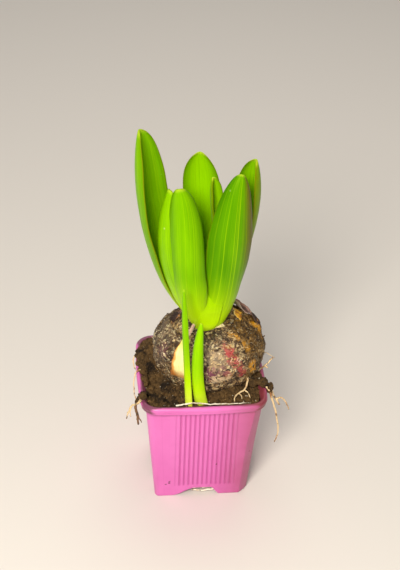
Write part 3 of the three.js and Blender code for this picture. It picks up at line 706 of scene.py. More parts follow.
def sheath(rows=33, columns=25):
    """A closed sheet, 0.8 mm thick, over the furrow. It keeps the same places as a blade does."""
    heights = sorted(FURROW)
    numbers = np.array([[*FURROW[z][0], *FURROW[z][1], *FURROW[z][2:]] for z in heights])
    levels = np.linspace(heights[0], heights[-1], rows)
    smooth_lines = [np.interp(levels, heights, column) for column in numbers.T]
    left_x, left_y, right_x, right_y, bulge, sunk = smooth_lines
    shape = bmesh.new()
    names = ("along", "across", "side", "tone", "shade_and_brown_reflection", "bleach")
    marks = [shape.verts.layers.float.new(name) for name in names]
    layers = []
    for skin in SHEET_FACES:
        layer = []
        for r, z in enumerate(levels):
            line = []
            for c in range(columns):
                u = c / (columns - 1)
                crown = 4.0 * u * (1.0 - u)
                out = bulge[r] * crown - sunk[r] * crown ** 0.6 + skin * crown ** 0.3
                x = left_x[r] + (right_x[r] - left_x[r]) * u + 0.15 * out
                y = left_y[r] + (right_y[r] - left_y[r]) * u - 0.98 * out
                point = shape.verts.new(at((x, y, z)))
                along = max(0.0, z - 106.5) / (84.0 - 22.0 * u)
                places = (along, 0.7 * u - 0.35, 1.0, 0.4 - 0.3 * u, 0.0, 0.0)
                for mark, value in zip(marks, places):
                    point[mark] = value
                line.append(point)
            layer.append(line)
        layers.append(layer)
    front, back = layers
    for r in range(rows - 1):
        for c in range(columns - 1):
            shape.faces.new((front[r][c], front[r][c + 1], front[r + 1][c + 1], front[r + 1][c]))
            shape.faces.new((back[r + 1][c], back[r + 1][c + 1], back[r][c + 1], back[r][c]))
    for r in range(rows - 1):
        shape.faces.new((back[r][0], front[r][0], front[r + 1][0], back[r + 1][0]))
        shape.faces.new((front[r][-1], back[r][-1], back[r + 1][-1], front[r + 1][-1]))
    for c in range(columns - 1):
        shape.faces.new((back[0][c + 1], front[0][c + 1], front[0][c], back[0][c]))
        shape.faces.new((front[-1][c], front[-1][c + 1], back[-1][c + 1], back[-1][c]))
    bmesh.ops.remove_doubles(shape, verts=shape.verts, dist=0.00001)
    bmesh.ops.recalc_face_normals(shape, faces=shape.faces)
    for face in shape.faces:
        face.smooth = True
    mesh = bpy.data.meshes.new("front_leaves_sheath")
    shape.to_mesh(mesh)
    shape.free()
    mesh.materials.append(LEAF_GREEN)
    piece = bpy.data.objects.new("front_leaves_sheath", mesh)
    bpy.context.scene.collection.objects.link(piece)
    return piece


finished(sheath(), "leaf")

# %% [markdown]
# ## The pot
#
# A thin moulded nursery pot: square with its corners cut flat, wider at the top, with a rolled lip and an
# arch in each side of its foot. It is built as one closed skin, ring by ring: up the inside, over the lip,
# down the outside, round the foot and back under the floor. The columns of the rings are laid out along the
# ribs, so the ribs stay crisp with few faces, and each point remembers which rib it lies on. A node tree
# then presses the grooves into the wall, because that is where they can be made deeper, wider or softer
# with one number. The drain holes are drilled last.

# %% Pot sizes
POT = dict(
    height=70.5, rim_half=35.0, rim_corner=10.0, rim_bow=0.9,
    lip_height=4.6, lip_round=1.7, lip_inner=33.0,
    top_half=32.0, foot_half=26.6, wall=1.0,
    floor_top=7.5, floor_under=6.3, floor_corner=5.0, hole_radius=3.2, hole_spacing=14.0,
)
# the cuts across the corners of the wall (front right, back right, back left, front left), and how far each
# is rounded: the front left one is worn round
CORNER_SOFTNESS = (0.18, 0.18, 0.18, 0.7)
CORNERS = dict(foot=(5.0, 5.0, 5.0, 2.2), dent=(5.7, 4.5, 4.5, 2.9), top=(4.0, 4.0, 4.0, 4.0), dent_at=38.0)
# the arch in each side's foot climbs gently from the left and falls steeply on the right; the wall follows
# it, less and less, up to its reach
ARCH = dict(start=-16.7, top_from=-3.5, top_to=5.3, end=10.4, height=5.2, reach=12.0)
RIBS = dict(count=14, first=-15.4, last=18.7, depth=0.36, lower_end=8.0, upper_end=65.2)
LIP_BOTTOM = POT["height"] - POT["lip_height"]


def mix(a, b, t):
    return a + (b - a) * t


def smooth(start, end, x):
    t = np.clip((x - start) / (end - start), 0.0, 1.0)
    return t * t * (3 - 2 * t)


def wall_half(z):
    return mix(POT["foot_half"], POT["top_half"], z / LIP_BOTTOM)


def wall_corner(z):
    foot, dent, top = (np.array(CORNERS[name]) for name in ("foot", "dent", "top"))
    at_dent = CORNERS["dent_at"]
    if z < at_dent:
        return mix(foot, dent, z / at_dent)
    return mix(dent, top, (z - at_dent) / (LIP_BOTTOM - at_dent))


PLAIN_LEFT, PLAIN_RIGHT = 6.0, 3.5  # how long the plain ends of a side are, counted in ribs


def side_columns():
    """Where the columns of one side lie, counted in ribs; they crowd together at the edges of each groove."""
    groove = [-0.34, -0.27, -0.21, -0.15, -0.08, 0.0, 0.08, 0.15, 0.21, 0.27, 0.34]
    ribs = [rib + step for rib in range(RIBS["count"]) for step in groove]
    left = list(np.linspace(-PLAIN_LEFT, -0.5, 16))
    right = list(np.linspace(RIBS["count"] - 0.5, RIBS["count"] - 1 + PLAIN_RIGHT, 10))
    return np.array(left + ribs + right)


RIB_COLUMNS = side_columns()
CORNER_COLUMNS = 14


def square_ring(z, half, corners, round_=0.0, bow=0.0):
    """One level of the pot; for each of its points the rib number and the place along its own side."""
    points, ribs, places = [], [], []
    corners = np.broadcast_to(corners, 4)
    pitch = (RIBS["last"] - RIBS["first"]) / (RIBS["count"] - 1)
    for quarter in range(4):
        corner = corners[quarter]
        inner, start = half - corner, half - corners[quarter - 1]
        along = RIBS["first"] + RIB_COLUMNS * pitch
        # the plain ends of the side are stretched to reach its corners, and nothing passes them
        outer = RIB_COLUMNS < 0
        along = np.where(outer, mix(-start, RIBS["first"], (RIB_COLUMNS + PLAIN_LEFT) / PLAIN_LEFT), along)
        beyond = RIB_COLUMNS - (RIBS["count"] - 1)
        along = np.where(beyond > 0, mix(RIBS["last"], inner, beyond / PLAIN_RIGHT), along)
        along = np.clip(along, -start, inner)
        c, s = math.cos(quarter * math.pi / 2), math.sin(quarter * math.pi / 2)
        side = [(x, -half - bow * (1 - (x / inner) ** 2), rib, x) for x, rib in zip(along, RIB_COLUMNS)]
        softness = max(round_, CORNER_SOFTNESS[quarter])
        for i in range(1, CORNER_COLUMNS):
            w = i / CORNER_COLUMNS
            turn = w * math.pi / 2
            flat = (mix(inner, half, w), mix(-half, -inner, w))
            arc = (inner + corner * math.sin(turn), -inner - corner * math.cos(turn))
            side.append((mix(flat[0], arc[0], softness), mix(flat[1], arc[1], softness), -9.0, 99.0))
        for x, y, rib, place in side:
            points.append((x * c - y * s, x * s + y * c, z))
            ribs.append(rib)
            places.append(place)
    return np.array(points), np.array(ribs), np.array(places)


def arch_at(x):
    up = smooth(ARCH["start"], ARCH["top_from"], x)
    down = 1 - smooth(ARCH["top_to"], ARCH["end"], x)
    return ARCH["height"] * np.minimum(up, down)


def pot_levels():
    """The rings of the pot's skin in order, as (z, half, corner, round, bow)."""
    top, lip, wall = POT["height"], LIP_BOTTOM, POT["wall"]
    rim, r, bow = POT["rim_half"], POT["lip_round"], POT["rim_bow"]
    corner = POT["rim_corner"]
    levels = []
    # inside: from the middle of the floor outwards, round the fillet and up the wall
    inside = wall_half(POT["floor_top"]) - wall
    for share in (0.02, 0.3, 0.6, 0.85, 0.97):
        levels.append((POT["floor_top"], inside * share, POT["floor_corner"] * share, 0.0, 0.0))
    for z in (8.4, 12, 20, 35, 50, lip - 4):
        levels.append((z, wall_half(z) - wall, wall_corner(z), 0.2, 0.0))
    levels.append((top - 3.6, POT["top_half"] - wall, corner - 4.8, 0.7, 0.0))
    levels.append((top - 2.4, POT["top_half"] - wall + 0.15, corner - 4.0, 1.0, bow * 0.2))
    levels.append((top - 1.3, POT["lip_inner"] - 1.3, corner - 3.2, 1.0, bow * 0.4))
    # over the lip: a soft inner edge, a nearly flat top and a round outer edge
    for turn in (15, 50, 90):
        a = math.radians(turn)
        half = POT["lip_inner"] - 0.6 * math.cos(a)
        levels.append((top - 0.6 + 0.6 * math.sin(a), half, corner - 2.2, 1.0, bow * 0.7))
    for turn in (90, 75, 60, 45, 30, 15):
        a = math.radians(turn)
        half = rim - r + r * math.cos(a)
        levels.append((top - r + r * math.sin(a), half, corner - r + r * math.cos(a), 1.0, bow))
    # the lower half of the lip is set back a little from the bead above it
    levels.append((lip + 2.7, rim + 0.0, corner, 1.0, bow))
    levels.append((lip + 2.3, rim - 0.12, corner - 0.1, 1.0, bow))
    levels.append((lip + 1.9, rim - 0.42, corner - 0.4, 1.0, bow))
    for turn in (0, -30, -60, -90):
        a = math.radians(turn)
        half = rim - 1.3 + 0.8 * math.cos(a)
        levels.append((lip + 0.8 + 0.8 * math.sin(a), half, corner - 1.3 + 0.8 * math.cos(a), 1.0, bow))
    # under the lip and down the wall
    levels.append((lip + 0.05, rim - 2.0, corner - 3.0, 0.8, bow * 0.5))
    levels.append((lip - 0.15, wall_half(lip) + 0.35, wall_corner(lip) + 0.4, 0.1, 0.0))
    # the rings crowd together where the ribs end and where the arch is
    near_upper_end, plain_wall = (lip - 0.7, 64.9, 64.5, 64.0), (60, 54, 48, 42, 36, 30, 24, 18, 14, 11)
    for z in (*near_upper_end, *plain_wall, 9.6, 9, 8.4, 7.8, 7, 6, 4.5, 3, 1.6):
        levels.append((z, wall_half(z), wall_corner(z), 0.06, 0.0))
    # round the foot, up inside the skirt and under the floor
    foot = wall_half(0)
    levels.append((0.5, foot, wall_corner(0), 0.06, 0.0))
    levels.append((0.12, foot - 0.15, wall_corner(0), 0.06, 0.0))
    levels.append((0.0, foot - 0.4, wall_corner(0), 0.06, 0.0))
    levels.append((0.12, foot - wall + 0.1, wall_corner(0), 0.06, 0.0))
    for z in (0.6, 2, 3.5, 5, POT["floor_under"]):
        levels.append((z, wall_half(z) - wall, wall_corner(z), 0.06, 0.0))
    under = wall_half(POT["floor_under"]) - wall
    for share in (0.97, 0.85, 0.6, 0.3, 0.02):
        levels.append((POT["floor_under"], under * share, POT["floor_corner"] * share, 0.06, 0.0))
    return levels


def mesh_of(name, points, faces, **kept):
    """A mesh from points in mm round the pot's axis, with numbers kept on its points."""
    mesh = bpy.data.meshes.new(name)
    mesh.from_pydata([tuple(p) for p in np.asarray(points) * MM + np.array(AXIS)], [], faces)
    for label, values in kept.items():
        layer = mesh.attributes.new(label, "FLOAT", "POINT")
        layer.data.foreach_set("value", np.asarray(values, dtype=np.float32))
    mesh.update()
    return mesh


def pot_shell():
    points, ribs, rows = [], [], pot_levels()
    highest = max(range(len(rows)), key=lambda index: rows[index][0])
    last_on_foot = len(rows) - 5  # the rings after it belong to the underside of the floor
    for index, (z, half, corner, round_, bow) in enumerate(rows):
        ring, rib, place = square_ring(z, half, corner, round_, bow)
        if z < ARCH["reach"] and highest < index < last_on_foot:
            # the arch lifts the foot, and less and less of the wall above it
            ring[:, 2] = z + arch_at(place) * (1 - z / ARCH["reach"])
        points.append(ring)
        ribs.append(rib)
    count = len(ribs[0])
    faces = []
    for row in range(len(rows) - 1):
        for i in range(count):
            a, b = row * count + i, row * count + (i + 1) % count
            faces.append((a, a + count, b + count, b))
    faces.append(tuple(range(count)))
    faces.append(tuple(reversed(range((len(rows) - 1) * count, len(rows) * count))))
    outside = np.repeat([1.0 if index > highest + 8 else 0.0 for index in range(len(rows))], count)
    return mesh_of("pot_shell", np.concatenate(points), faces, rib=np.concatenate(ribs), outside=outside)


shell = pot_shell()
print("the pot's skin has", len(shell.vertices), "points")


# %% Press the ribs
def rib_tree():
    inputs = {"Count": "number", "Half width": "number", "Depth": "number"}
    net = ShapeTree("pressed_ribs", {**inputs, "Lower end": "number", "Upper end": "number"})
    given = net.given
    rib, height = net.kept("rib"), net.spot().part("Z")
    nearest = rib.rounded()
    on_field = (nearest > -0.5) * (nearest < given("Count") - 0.5) * net.kept("outside")
    groove = 1.0 - abs(rib - nearest).smooth(given("Half width") * 0.35, given("Half width"))
    # the first and the last groove are shallow
    last = rib.smooth(given("Count") - 1.7, given("Count") - 1.3)
    groove = groove * (0.35 + 0.65 * rib.smooth(0.3, 0.7)) * (1.0 - 0.5 * last)
    ends = height.smooth(given("Lower end") - 0.0006, given("Lower end") + 0.0006)
    ends = ends * (1.0 - height.smooth(given("Upper end") - 0.0004, given("Upper end") + 0.0004))
    pressed = groove * on_field * ends
    normal = net.put("GeometryNodeInputNormal")
    shape = net.keep(given("Geometry"), groove=pressed)
    net.finish(net.moved(shape, Offset=normal * (pressed * given("Depth") * -1.0)))
    return net


def pot_finish():
    look = Finish("pot_plastic", Roughness=0.38, Specular_IOR_Level=0.5)
    where = look.place()
    height = where.part("Z")
    groove = look.kept("groove")
    cloud = look.noise(where, 26.0, 4.0, 0.6)
    streak = look.noise(where * (90.0, 90.0, 12.0), 1.0, 3.0, 0.6)
    rib = look.kept("rib")
    # two faint joints of the mould run down the plain part
    joint = (1.0 - abs(rib + 3.9).smooth(0.0, 0.16)) * 0.8 + (1.0 - abs(rib + 1.9).smooth(0.0, 0.12)) * 0.4
    joint = joint * (height > 0.002)
    pink = look.mix(linear(222, 114, 188), linear(212, 102, 176), cloud.smooth(0.35, 0.7))
    # the grooves are painted darker, as painted shade in them; the mould joints are a little darker too
    pink = look.mix(pink, linear(184, 76, 146), (groove * 0.75 + joint * 0.2).clamped())
    # dried splashes of compost water, thicker near the foot
    grime = streak.smooth(0.55, 0.8) * (1.0 - height.smooth(0.004, 0.03)) * 0.5
    grime = grime + look.noise(where, 420.0, 3.0, 0.7).smooth(0.62, 0.75) * cloud.smooth(0.5, 0.7) * 0.35
    pink = look.mix(pink, linear(150, 74, 92), grime.clamped() * 0.6)
    # crumbs of compost stuck to the wall
    few = look.noise(where, 130.0, 1.0).smooth(0.655, 0.68)
    crumb = look.cells(where, 260.0).smooth(0.24, 0.12) * few
    pink = look.mix(pink, linear(74, 36, 34), crumb * 0.85)
    # compost is smeared along the inner edge of the lip
    off = where - (AXIS.x, AXIS.y, 0.0)
    ring = abs(off.part("X")).most(abs(off.part("Y"))) * 1000.0 + (streak - 0.5) * 1.6
    smear = ring.smooth(34.6, 33.4) * height.smooth(0.062, 0.067)
    pink = look.mix(pink, linear(78, 44, 34), smear * 0.8)
    # its right-hand side is darkened and browned: painted shade and a painted reflection of brown
    # surroundings
    painted_right_shade = where.part("X").smooth(AXIS.x + 0.002, AXIS.x + 0.034) * (0.7 + cloud * 0.6)
    pink = look.mix(pink, linear(140, 54, 50), painted_right_shade * 0.68)
    look.set("Base Color", pink)
    look.set("Roughness", 0.36 + grime * 0.3 + crumb * 0.4 + (cloud - 0.5) * 0.1)
    grain = look.noise(where, 1500.0, 2.0)
    look.bump(grain * 0.35 + crumb + streak * 0.2 - joint * 0.8, 0.00012, 0.35)
    return look.material


POT_PINK = pot_finish()
pressed = rib_tree().grow(
    "pot_body",
    {
        "Count": float(RIBS["count"]), "Half width": 0.3, "Depth": RIBS["depth"] * MM,
        "Lower end": RIBS["lower_end"] * MM, "Upper end": RIBS["upper_end"] * MM,
    },
    POT_PINK,
    base=shell,
)


# %% Drill the drain holes
def drilled(piece, places, radius, low, high, sides=24):
    """Cuts round holes through the floor, and leaves the piece with a plain mesh."""
    drills = []
    for x, y in places:
        turns = [math.radians(360 / sides * i) for i in range(sides)]
        ring = [(x + radius * math.cos(a), y + radius * math.sin(a)) for a in turns]
        points = [(px, py, low) for px, py in ring] + [(px, py, high) for px, py in ring]
        faces = [(i, (i + 1) % sides, sides + (i + 1) % sides, sides + i) for i in range(sides)]
        faces += [tuple(reversed(range(sides))), tuple(range(sides, 2 * sides))]
        drill = bpy.data.objects.new("drill", mesh_of("drill", points, faces))
        bpy.context.scene.collection.objects.link(drill)
        cut = piece.modifiers.new("hole", "BOOLEAN")
        cut.object, cut.operation, cut.solver = drill, "DIFFERENCE", "EXACT"
        drills.append(drill)
    bpy.context.view_layer.update()
    mesh = bpy.data.meshes.new_from_object(piece.evaluated_get(bpy.context.evaluated_depsgraph_get()))
    piece.modifiers.clear()
    piece.data = mesh
    for drill in drills:
        bpy.data.objects.remove(drill)


gap = POT["hole_spacing"]
HOLES = [(0, 0), (gap, gap), (-gap, gap), (-gap, -gap), (gap, -gap)]
drilled(pressed, HOLES, POT["hole_radius"], POT["floor_under"] - 1, POT["floor_top"] + 1)
finished(pressed, "pot_plastic", "pot")

# %% [markdown]
# ## The bulb
#
# The bulb is a squat globe whose crown is flattened where the leaves stand, with a shallow cleft down its
# front. Its skin is made of dry papery layers, so the surface is striped from pole to pole, blistered and
# scuffed. One formula gives the place of any point by azimuth and latitude. It is used twice: for the whole
# globe, and for the loose pieces of torn skin that lie on it, so that they fit it whatever its size.

# %% The shape of the bulb
BULB = dict(centre=(4.5, 3.0, 85.9), radius_x=31.9, radius_y=28.2, up=20.8, down=26.6, power=0.86)
CLEFT = dict(azimuth=-117.0, half_width=16.0, depth=1.6)
SKIN_SHARE = 1.4  # how far the left half is drawn in under its loose skin
DEGREES = math.pi / 180


def waves(x, seed):
    """A smooth irregular number between -1 and 1."""
    long, short = (x * 2.1 + seed * 1.7).sin(), (x * 4.7 + seed * 2.9).sin()
    return (long + short * 0.6 + (x * 9.3 + seed * 4.1).sin() * 0.35) / 1.95


def globe_direction(net, azimuth, latitude):
    """The direction from the bulb's middle, as on a round ball."""
    a, l = azimuth * DEGREES, latitude * DEGREES
    return net.vector(a.cos() * l.cos(), a.sin() * l.cos(), l.sin())


def globe_place(net, azimuth, latitude, out):
    """A place on the bulb, standing out from it by `out` (all in mm), as metres in the frame."""
    a, l = azimuth * DEGREES, latitude * DEGREES
    belt = latitude.smooth(-60.0, -20.0) * (1.0 - latitude.smooth(60.0, 80.0))
    left = (a.cos() * -1.0).smooth(0.1, 0.7) * belt
    turn = (azimuth - CLEFT["azimuth"]).wrapped(180.0, -180.0) / CLEFT["half_width"]
    dip = turn.bell() * CLEFT["depth"] * latitude.smooth(-40.0, 0.0)
    grown = out - left * SKIN_SHARE - dip + waves(a, 3.0) * 0.5 * l.cos()
    round_ = l.cos().most(0.0) ** BULB["power"]
    height = mix_wires(BULB["down"], BULB["up"], latitude > 0.0)
    cx, cy, cz = BULB["centre"]
    x = (grown + BULB["radius_x"]) * round_ * a.cos() + cx
    y = (grown + BULB["radius_y"]) * round_ * a.sin() + cy
    z = (grown + height) * l.sin() + cz
    return net.vector(x, y, z) * MM + tuple(AXIS)


def mix_wires(a, b, factor):
    return factor * (b - a) + a


def papery(net, direction, seed):
    """How far the dry skin stands out, in mm: broad lumps and flats, wrinkles, stripes and blisters."""
    shifted = direction + net.vector(seed, 0.0, 0.0)
    lumps, flats = net.noise(shifted, 2.4), net.cells(shifted, 3.1)
    # wrinkles run round the bulb near its crown, and from pole to pole lower down
    level = direction * (3.0, 3.0, 17.0) + net.vector(0.0, seed, 0.0)
    wrinkles = net.noise(level, 1.0, 3.0, Distortion=0.6)
    upright = direction * (1.0, 1.0, 0.16) + net.vector(0.0, seed, 0.0)
    stripes, pits = net.noise(upright, 17.0, 3.0, 0.6), net.noise(direction, 30.0, 3.0, 0.75)
    crown = direction.part("Z").smooth(0.2, 0.6)
    folds = (wrinkles - 0.5) * 1.8 * crown + (stripes - 0.5) * 0.9
    return (lumps - 0.5) * 4.0 + (0.45 - flats) * 1.7 + folds + (pits - 0.5) * 1.1


def bulb_tree():
    inputs = {"Rows": "whole", "Columns": "whole", "Roughness": "number", "Seed": "number"}
    net = ShapeTree("bulb_globe", inputs)
    grid, spot = net.grid(1.0, net.given("Columns"), net.given("Rows")), net.spot()
    azimuth = (spot.part("X") + 0.5) * 360.0
    latitude = spot.part("Y") * 179.0
    direction = globe_direction(net, azimuth, latitude)
    # the very poles stay smooth, so that the faces that meet there don't spike
    off_pole = 1.0 - abs(latitude).smooth(78.0, 89.0)
    out = papery(net, direction, net.given("Seed")) * net.given("Roughness") * off_pole
    shape = net.moved(grid, Position=globe_place(net, azimuth, latitude, out))
    net.finish(net.smoothed(net.welded(shape, 1.5 * SEAM)))
    return net


# %% Where things lie on the bulb
def on_bulb(azimuth, latitude):
    """The same formula for single points, without the wrinkles: metres in the frame."""
    a, l = math.radians(azimuth), math.radians(latitude)
    cx, cy, cz = BULB["centre"]
    round_ = math.cos(l) ** BULB["power"]
    up = BULB["up"] if l > 0 else BULB["down"]
    return at((
        cx + BULB["radius_x"] * round_ * math.cos(a),
        cy + BULB["radius_y"] * round_ * math.sin(a),
        cz + up * math.sin(l),
    ))


# Patches of colour on the skin: azimuth, latitude, radius in mm, colour and strength.
CRIMSON, WINE, AMBER = linear(198, 74, 78), linear(122, 62, 86), linear(240, 168, 26)
SILVER_AND_SHEEN, CHALK = linear(196, 172, 140), linear(234, 206, 166)
BARK, SHADOW = linear(38, 27, 22), linear(16, 10, 8)
PATCHES = [
    # silvery in front, partly pale skin and partly a painted sheen; dark round the neck
    (-90, 34, 10.0, SILVER_AND_SHEEN, 0.34), (-82, 20, 9.0, SILVER_AND_SHEEN, 0.3),
    # the dark round the neck is painted shadow, where the neck sinks in under the leaf bases
    (-108, 52, 6.0, BARK, 0.7), (-86, 57, 5.0, BARK, 0.6), (-129, 68, 5.6, SHADOW, 1.0),
    (-112, 71, 4.4, SHADOW, 0.9), (-152, 72, 4.0, BARK, 0.6),
    # a crimson streak that runs down to the right
    (-74, 41, 2.6, CRIMSON, 0.55), (-71, 33, 3.2, CRIMSON, 0.75), (-69, 24, 3.8, CRIMSON, 0.9),
    (-66, 15, 3.2, CRIMSON, 0.85), (-61, 1, 2.8, CRIMSON, 0.8), (-58, -7, 3.0, CRIMSON, 0.7),
    (-76, -2, 3.0, CRIMSON, 0.45),
    # a wine-red belt low in front, with a chalky scuff under it
    (-100, 0, 4.6, WINE, 1.0), (-92, -3, 4.6, WINE, 1.0),
    (-110, 10, 5.0, WINE, 0.5), (-80, 4, 4.0, WINE, 0.5),
    (-87, -8, 2.6, CHALK, 1.0), (-81, -9, 2.6, CHALK, 1.0), (-75, -10, 2.4, CHALK, 1.0),
    # amber where the skin is rubbed thin, and two dark stains
    (-58, 54, 2.2, AMBER, 0.5), (-51, 47, 2.2, AMBER, 0.5), (-49, 35, 2.0, AMBER, 0.5),
    (-48, 26, 2.0, AMBER, 0.5), (-45, -1, 3.2, AMBER, 0.95), (-43, -9, 2.6, AMBER, 0.85),
    (-38, 6, 2.2, BARK, 0.8), (-54, 6, 3.0, BARK, 0.6),
    (-2, 42, 3.0, AMBER, 0.9), (-6, 32, 2.8, AMBER, 0.85), (-10, 22, 2.2, AMBER, 0.7),
    # and a few of each behind
    (150, 10, 7.0, WINE, 0.6), (60, 20, 6.0, CRIMSON, 0.7),
    (95, -5, 5.0, AMBER, 0.6), (120, 40, 6.0, BARK, 0.6),
]


def on_right(where):
    """1 on the bulb's right-hand cheek, 0 on the rest of it."""
    flat = (where - tuple(at(BULB["centre"]))) * (1.0, 1.0, 0.0)
    return (flat.part("X") / flat.length()).smooth(0.5, 0.8)


def bulb_finish(name, ground, light, flecks, patches, sheen_rough):
    """Layers of dry skin: dashes of many colours over a streaked ground, with stains, scuffs and dirt, and
    patches that can also paint a sheen and a shadow.
    """
    look = Finish(name, Roughness=sheen_rough, Specular_IOR_Level=0.3)
    where = look.place()
    radii = (BULB["radius_x"], BULB["radius_y"], BULB["up"])
    direction = (where - tuple(at(BULB["centre"]))) * tuple(1 / (radius * MM) for radius in radii)
    warp = look.noise(direction, 4.0, 3.0).also("Color")
    bent = {0: warp, 1: (0.35, 0.35, 0.5), 2: direction}
    warped = look.put("ShaderNodeVectorMath", {"operation": "MULTIPLY_ADD"}, bent)
    stripes = look.noise(warped * (1.0, 1.0, 0.2), 14.0, 5.0, 0.75)
    cloud = look.noise(direction, 3.4, 4.0, 0.65)
    # dashes: long cells, each of a colour of its own
    dash = look.cells(warped * (1.0, 1.0, 0.55), 27.0).also("Color")
    chance, other, third = dash.part("X"), dash.part("Y"), dash.part("Z")
    speck = look.cells(warped, 46.0).also("Color")
    shade = (stripes - 0.5) * 1.7 + (chance - 0.5) * 0.9 + (cloud - 0.5) * 1.3
    shade = shade + (speck.part("X") - 0.5) * 0.5 + 0.4
    colour = look.mix(BARK, ground, shade.smooth(-0.1, 0.35))
    colour = look.mix(colour, light, shade.smooth(0.35, 0.95))
    # the right-hand cheek is olive brown
    cheek = on_right(where) * (1.0 - cloud.smooth(0.5, 0.8) * 0.35)
    olive = look.mix(linear(56, 38, 12), linear(124, 88, 20), shade.clamped())
    colour = look.mix(colour, olive, cheek * 0.92)
    edge = look.noise(where, 300.0, 4.0, 0.75)
    for azimuth, latitude, radius, tint, strength in patches:
        away = where.away_from(on_bulb(azimuth, latitude))
        reach = away * (1000.0 / radius) + (edge - 0.5) * 2.2 + (other - 0.5) * 0.5
        colour = look.mix(colour, tint, (1.0 - reach.smooth(0.5, 1.1)) * (strength * (0.65 + chance * 0.35)))
    # pale dashes and specks where the outermost layer has worn through
    worn = look.noise(direction, 5.5, 4.0, 0.7).smooth(0.4, 0.58) * (1.0 - cheek * 0.6)
    colour = look.mix(colour, flecks, (other > 0.78) * worn * (0.55 + third * 0.45))
    rusty = (third > 0.9) * worn * direction.part("X").smooth(-0.2, 0.5)
    colour = look.mix(colour, linear(206, 148, 60), rusty * 0.6)
    colour = look.mix(colour, BARK, (third < 0.1) * 0.6)
    colour = look.mix(colour, linear(240, 226, 190), (speck.part("Y") > 0.93) * worn * 0.85)
    # compost clings to the lower part
    height = where.part("Z") * 1000.0 + (edge - 0.5) * 16.0 + (cloud - 0.5) * 12.0
    dirt = 1.0 - height.smooth(68.0, 75.0)
    colour = look.mix(colour, linear(48, 33, 22), dirt * 0.9)
    look.set("Base Color", colour)
    look.set("Roughness", stripes * 0.3 + sheen_rough - 0.12 + dirt * 0.3)
    look.bump(stripes * 0.8 + chance * 0.35 + edge * 0.6 + speck.part("Z") * 0.2, 0.0009, 0.85)
    return look.material


BULB_SKIN = bulb_finish(
    "bulb_skin", linear(96, 74, 58), linear(188, 156, 108), linear(222, 198, 146), PATCHES, 0.48,
)
values = {"Rows": 150, "Columns": 381, "Roughness": 1.0, "Seed": 2.0}
globe = bulb_tree().grow("bulb_globe", values, BULB_SKIN)
finished(globe, "bulb_skin", "bulb")

# %% [markdown]
# ### Torn skins
#
# The outermost layers of a bulb dry out, split and lift: a big grey-brown flap still covers the left half,
# the fleshy scale shows in the cleft beside it, and shards, a flake, a strip and a thin membrane stand round
# the crown. Each is a thin closed leaf of skin between two azimuths and two latitudes, with ragged edges,
# that can lift away towards its top or its right-hand side. It is made from a flat grid, as the leaves are.

# %% The skin tree
def skin_tree():
    net = ShapeTree(
        "torn_skin",
        {
            "Rows": "whole", "Columns": "whole",
            "Azimuth from": "number", "Azimuth to": "number",
            "Latitude from": "number", "Latitude to": "number",
            "Thickness": "number", "Stand": "number", "Curl": "number", "Lift right": "number",
            "Slant": "number", "Narrow": "number", "Ragged": "number", "Roughness": "number",
            "Seed": "number",
        },
    )
    given = net.given
    grid, spot = net.grid(1.0, given("Columns"), given("Rows")), net.spot()
    v = spot.part("Y") + 0.5
    turn = (spot.part("X") + 0.5) * (-2.0 * math.pi)
    face, u = turn.sin() * -1.0, turn.cos() * -0.5 + 0.5

    def torn(along, seed):
        """A ragged line: big tears and small ones."""
        where = net.vector(along, given("Seed") + seed, 0.0)
        return (net.noise(where, 5.0, 4.0, 0.65) - 0.5) * given("Ragged") * 3.0

    shrink = given("Narrow") * v
    first = given("Azimuth from") + shrink + torn(v, 0.0)
    last = given("Azimuth to") - shrink + given("Slant") * (v - 0.5) + torn(v, 5.0)
    azimuth = mix_wires(first, last, u)
    low, high = given("Latitude from") + torn(u, 9.0), given("Latitude to") + torn(u, 13.0)
    latitude = mix_wires(low, high, v)
    direction = globe_direction(net, azimuth, latitude)

    edge = (u * (1.0 - u) * 4.0).most(0.0) ** 0.35 * (v * (1.0 - v) * 4.0).most(0.0) ** 0.3
    crumple = papery(net, direction, given("Seed")) * given("Roughness")
    off = given("Stand") + given("Curl") * v * v + given("Lift right") * u.smooth(0.7, 1.0) + crumple
    off = off + face * given("Thickness") * 0.5 * edge
    place = globe_place(net, azimuth, latitude, off)
    shape = net.moved(net.keep(grid, up=v, across=u, face=face), Position=place)
    net.finish(net.smoothed(net.welded(shape, SEAM)))
    return net


# %% Finishes of the torn skins
def paper_finish(name, outside, inside, rim, flecks, rough=0.6):
    """Dry skin: streaked from top to bottom, with a paler torn rim and another colour inside."""
    look = Finish(name, Roughness=rough, Specular_IOR_Level=0.35)
    up, across, face = (look.kept(label) for label in ("up", "across", "face"))
    where = look.place()
    streaks = look.noise(look.vector(across * 14.0, up * 2.0, 0.0), 1.0, 5.0, 0.7)
    blotch = look.noise(where, 240.0, 4.0, 0.7)
    colour = look.mix(outside, look.mix(outside, (0.03, 0.02, 0.02), 0.7), streaks.smooth(0.5, 0.64))
    colour = look.mix(colour, flecks, blotch.smooth(0.56, 0.64) * 0.75)
    colour = look.mix(colour, inside, face.smooth(0.1, -0.4))
    at_sides = (abs(across - 0.5) * 2.0 + (blotch - 0.5) * 0.2).smooth(0.9, 0.985)
    at_top = (up + (blotch - 0.5) * 0.1).smooth(0.93, 0.985)
    colour = look.mix(colour, rim, at_sides.most(at_top) * 0.8)
    look.set("Base Color", colour)
    look.set("Roughness", rough + (streaks - 0.5) * 0.3)
    look.bump(streaks + blotch * 0.5, 0.0004, 0.6)
    return look.material


